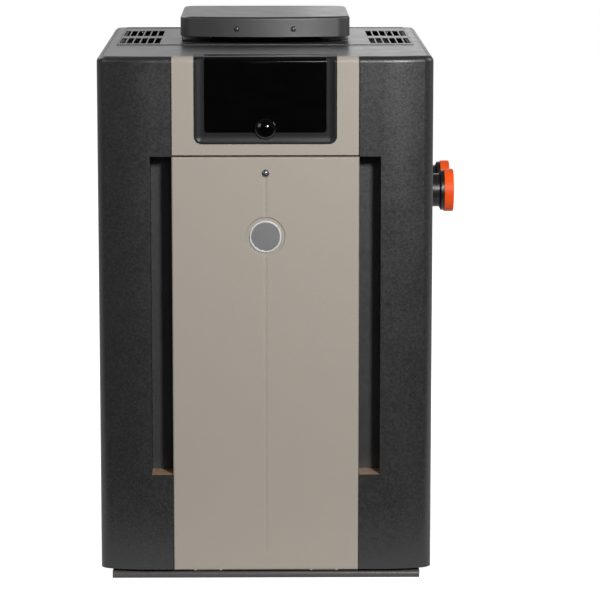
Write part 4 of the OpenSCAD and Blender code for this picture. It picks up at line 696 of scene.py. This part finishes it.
# By the piece, where it differs from its slot
OWN_FINISH = {
    "base_pan": base_paint(),
    "upper_fascia": taupe_paint("fascia_powder_coat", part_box("upper_fascia")[1].x),
    "flue_cover": cover_paint(),
    # The flue collar is darkened to near black as painted shade under the cover
    "flue_collar": galvanised("shade_darkened_steel", (0.030, 0.028, 0.026), 0.55),
    # The flue collector is heat-dulled, and darkened further as painted shade seen through the
    # top's slots
    "flue_collector": galvanised("heat_dulled_shaded_steel", (0.060, 0.057, 0.054), 0.60),
    "door_screw": bright_metal("dark_zinc", (0.23, 0.24, 0.26), 0.34),
    "circuit_board": circuit_lacquer("board_lacquer", (0.020, 0.12, 0.055),
                                     BOARD_FRONT_Y, BOARD_BACK_Y),
    "transformer": wound_core("wound_core", CORE_MIDDLE_Y, CORE_HALF, COIL_FOOT_Z),
    "ignition_module": terminal_case("terminal_case", (0.022, 0.023, 0.026), BLADE_FOOT_Z),
    "gas_valve": bright_metal("valve_casting", (0.55, 0.56, 0.57), 0.42,
                              coated=coil_can(VALVE_X, VALVE_Y, VALVE_COIL_R,
                                              VALVE_COIL_LOW_Z, VALVE_COIL_HIGH_Z)),
    "display": liquid_crystal("display_glass", (0.25, 0.30, 0.23),
                              WINDOW_Z, WINDOW_HALF_W, WINDOW_HALF_H),
    "menu_button": button_rubber("menu_rubber", bars_mark(MENU_X, BUTTON_Z)),
    "mode_button": button_rubber("mode_rubber", ring_mark(MODE_X, BUTTON_Z)),
    "down_button": button_rubber("down_rubber", arrow_mark(DOWN_X, BUTTON_Z, -1.0)),
    "up_button": button_rubber("up_rubber", arrow_mark(UP_X, BUTTON_Z, 1.0)),
}
for name, node in NODES.items():
    node.data.materials[0] = OWN_FINISH.get(name) or FINISH[node.data.materials[0].name]


# Wiring loom: twisted wires, taped where the route bends

LOOM_ROUTE = [Vector(p) * MM for p in (
    (-95, -148, 286), (-95, -148, 326), (-115, -178, 396),
    (-115, -284, 579.5), (-95, -284, 649.5), (-95, -284, 689.5))]
BEND = 14 * MM
BEND_STEPS = 6
WIRES = 6
RED_WIRES = (1, 4)
WIRE_R = 1.3 * MM
WIRE_OUT = 2.65 * MM
TAPE_R = 4.7 * MM
TAPE_HALF = 11 * MM
TWIST_LENGTH = 90 * MM
STEP = 6 * MM
SIDES = 8


def rounded(route, bend):
    """The route with a curve instead of each corner."""
    points = [route[0]]
    for before, corner, after in zip(route, route[1:], route[2:]):
        a = corner + (before - corner).normalized() * bend
        b = corner + (after - corner).normalized() * bend
        for i in range(BEND_STEPS + 1):
            t = i / BEND_STEPS
            points.append(a * (1 - t) ** 2 + corner * (2 * t * (1 - t)) + b * t ** 2)
    return points + [route[-1]]


def evenly(points, step):
    """The same line in short, nearly equal pieces."""
    out = [points[0]]
    for a, b in zip(points, points[1:]):
        count = max(1, round((b - a).length / step))
        out += [a.lerp(b, i / count) for i in range(1, count + 1)]
    return out


def frames_along(points):
    """Two directions across the line at each point, carried along it without turning."""
    side = Vector((1.0, 0.0, 0.0))
    out = []
    for i, point in enumerate(points):
        ahead = (points[min(i + 1, len(points) - 1)] - points[max(i - 1, 0)]).normalized()
        side = (side - ahead * side.dot(ahead)).normalized()
        out.append((side.copy(), ahead.cross(side)))
    return out


def round_from(point, across, radius, turns):
    """A point at a radius from another, so many turns round the line."""
    u, v = across
    a = 2 * math.pi * turns
    return point + u * (radius * math.cos(a)) + v * (radius * math.sin(a))


def add_tube(verts, faces, points, radius):
    """A closed tube round the points."""
    first = len(verts)
    for point, across in zip(points, frames_along(points)):
        verts += [round_from(point, across, radius, k / SIDES) for k in range(SIDES)]
    for i in range(len(points) - 1):
        a, b = first + i * SIDES, first + (i + 1) * SIDES
        for k in range(SIDES):
            beside = (k + 1) % SIDES
            faces.append((a + k, a + beside, b + beside, b + k))
    faces.append(tuple(range(first + SIDES - 1, first - 1, -1)))
    faces.append(tuple(range(len(verts) - SIDES, len(verts))))


def wound(line, wire):
    """One wire, twisted round the line."""
    points = []
    length = 0.0
    last = line[0]
    for point, across in zip(line, frames_along(line)):
        length += (point - last).length
        last = point
        points.append(round_from(point, across, WIRE_OUT, wire / WIRES + length / TWIST_LENGTH))
    return points


def loom_piece(name, verts, faces, slot, material):
    """A piece in place of the CAD's plain loom. Its tubes are smooth, and their ends flat."""
    mesh = bpy.data.meshes.new(name)
    mesh.from_pydata(verts, [], faces)
    mesh.polygons.foreach_set("use_smooth", [len(p.vertices) == 4 for p in mesh.polygons])
    mesh.materials.append(material)
    made = bpy.data.objects.new(name, mesh)
    scene.collection.objects.link(made)
    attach(made, "cabinet")
    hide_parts("wiring_loom")


def make_loom():
    line = evenly(rounded(LOOM_ROUTE, BEND), STEP)
    black, red = ([], []), ([], [])
    add_tube(*black, line, WIRE_R)
    for wire in range(WIRES):
        add_tube(*(red if wire in RED_WIRES else black), wound(line, wire), WIRE_R)
    for corner in LOOM_ROUTE[1:-1]:
        add_tube(*black, [p for p in line if (p - corner).length < TAPE_HALF], TAPE_R)
    loom_piece("loom_black_wires", *black, "black_rubber", FINISH["black_rubber"])
    loom_piece("loom_red_wires", *red, "red_plastic", FINISH["red_plastic"])


make_loom()


# Floor and surroundings

WHITE = (1.0, 1.0, 1.0, 1.0)
FLOOR_GLOW = 0.88
FLOOR_MIRROR = 0.30
FLOOR_COLOUR = (0.60, 0.60, 0.60, 1.0)
FLOOR_FRONT = -0.58
FLOOR_BACK = 45.0
FLOOR_HALF_WIDTH = 30.0


def seen_directly(t):
    """1 for a ray from the camera or through glass, less off a mirror, and 0 for a diffuse one."""
    path = t.node("ShaderNodeLightPath").outputs
    mirror = t.times(path["Is Glossy Ray"], FLOOR_MIRROR)
    return t.most(t.most(path["Is Camera Ray"], mirror), path["Is Transmission Ray"])


def floor_material():
    """A pale floor that still takes the object's shadow."""
    made = bpy.data.materials.new("pale_floor")
    made.use_nodes = True
    made.node_tree.nodes.clear()
    t = Tree(made.node_tree)
    matt = t.node("ShaderNodeBsdfDiffuse", {"Color": FLOOR_COLOUR})
    strength = t.times(seen_directly(t), FLOOR_GLOW)
    glow = t.node("ShaderNodeEmission", {"Color": WHITE, "Strength": strength})
    both = t.node("ShaderNodeAddShader", {0: matt.outputs[0], 1: glow.outputs[0]})
    t.node("ShaderNodeOutputMaterial", {"Surface": both.outputs[0]})
    return made


def make_floor():
    corners = [(-FLOOR_HALF_WIDTH, FLOOR_FRONT, 0.0), (FLOOR_HALF_WIDTH, FLOOR_FRONT, 0.0),
               (FLOOR_HALF_WIDTH, FLOOR_BACK, 0.0), (-FLOOR_HALF_WIDTH, FLOOR_BACK, 0.0)]
    mesh = bpy.data.meshes.new("floor")
    mesh.from_pydata(corners, [], [(0, 1, 2, 3)])
    floor = bpy.data.objects.new("floor", mesh)
    mesh.materials.append(floor_material())
    scene.collection.objects.link(floor)


AMBIENT = 0.22
MIRROR_FRONT = 0.01
MIRROR_SIDES = 0.12
MIRROR_BEHIND = 0.80
# How far to the rear a direction points, -1 to 1, where each of these levels gives way to the next
FRONT_TO_SIDES = (-0.75, 0.10)
SIDES_TO_BEHIND = (0.70, 0.96)


def mirrored_level(t):
    """What mirrors show: dark on the camera's side, and bright straight behind the object."""
    to_rear = t.part(t.node("ShaderNodeTexCoord").outputs["Generated"], "Y")
    sides = t.remap(to_rear, *FRONT_TO_SIDES, MIRROR_FRONT, MIRROR_SIDES, smooth=True)
    behind = t.remap(to_rear, *SIDES_TO_BEHIND, 0.0, MIRROR_BEHIND - MIRROR_SIDES, smooth=True)
    return t.plus(sides, behind)


def make_world():
    """White all round for the camera, dimmer as light on the object, and uneven in mirrors."""
    world = bpy.data.worlds.new("studio")
    scene.world = world
    world.use_nodes = True
    world.cycles.sampling_method = "NONE"
    world.node_tree.nodes.clear()
    t = Tree(world.node_tree)
    path = t.node("ShaderNodeLightPath").outputs
    glancing = t.most(path["Is Glossy Ray"], path["Is Transmission Ray"])
    indirect = t.remap(glancing, 0.0, 1.0, AMBIENT, mirrored_level(t))
    level = t.remap(path["Is Camera Ray"], 0.0, 1.0, indirect, 1.0)
    back = t.node("ShaderNodeBackground", {"Color": WHITE, "Strength": level})
    t.node("ShaderNodeOutputWorld", {"Surface": back.outputs[0]})


# Lamps and camera

LAMP_TARGET = Vector((0.0, 0.0, 0.5))
# Azimuth and elevation in degrees, distance, width and height in metres, power in watts.
# Azimuth 0 is straight in front, and 90 on the right.
LAMPS = {
    "key": (17.6, 22.8, 3.02, 0.3, 0.3, 63.0),
    "fill": (-50.0, 25.0, 5.0, 2.0, 2.0, 30.0),
    "side": (92.0, 30.0, 3.5, 1.2, 1.2, 38.0),
    "back": (168.0, 16.0, 2.0, 0.6, 0.6, 1.0),
    "strip": (2.6, 20.0, 3.0, 0.13, 0.02, 1.8),
    "rear": (228.0, 40.0, 5.0, 3.0, 3.0, 85.0),
}
CAMERA_PLACE = (-0.0022, -5.5713, 1.3261)
CAMERA_PITCH = 9.122
CAMERA_YAW = 0.666
CAMERA_LENS = 186.38
SENSOR = 36.0


def make_lamp(name, azimuth, elevation, distance, width, height, power):
    """A soft lamp that looks at the target."""
    a, e = math.radians(azimuth), math.radians(elevation)
    way = Vector((math.sin(a) * math.cos(e), -math.cos(a) * math.cos(e), math.sin(e)))
    data = bpy.data.lights.new(name, "AREA")
    data.shape = "RECTANGLE"
    data.size = width
    data.size_y = height
    data.energy = power
    made = bpy.data.objects.new(name, data)
    made.location = LAMP_TARGET + way * distance
    made.rotation_euler = (-way).to_track_quat("-Z", "Y").to_euler()
    scene.collection.objects.link(made)


def make_camera():
    data = bpy.data.cameras.new("camera")
    data.lens = CAMERA_LENS
    data.sensor_width = SENSOR
    camera = bpy.data.objects.new("camera", data)
    camera.location = CAMERA_PLACE
    camera.rotation_euler = (math.radians(90.0 - CAMERA_PITCH), 0.0, math.radians(-CAMERA_YAW))
    scene.collection.objects.link(camera)
    scene.camera = camera


make_floor()
make_world()
for name, values in LAMPS.items():
    make_lamp(name, *values)
make_camera()
scene.view_settings.view_transform = "Standard"
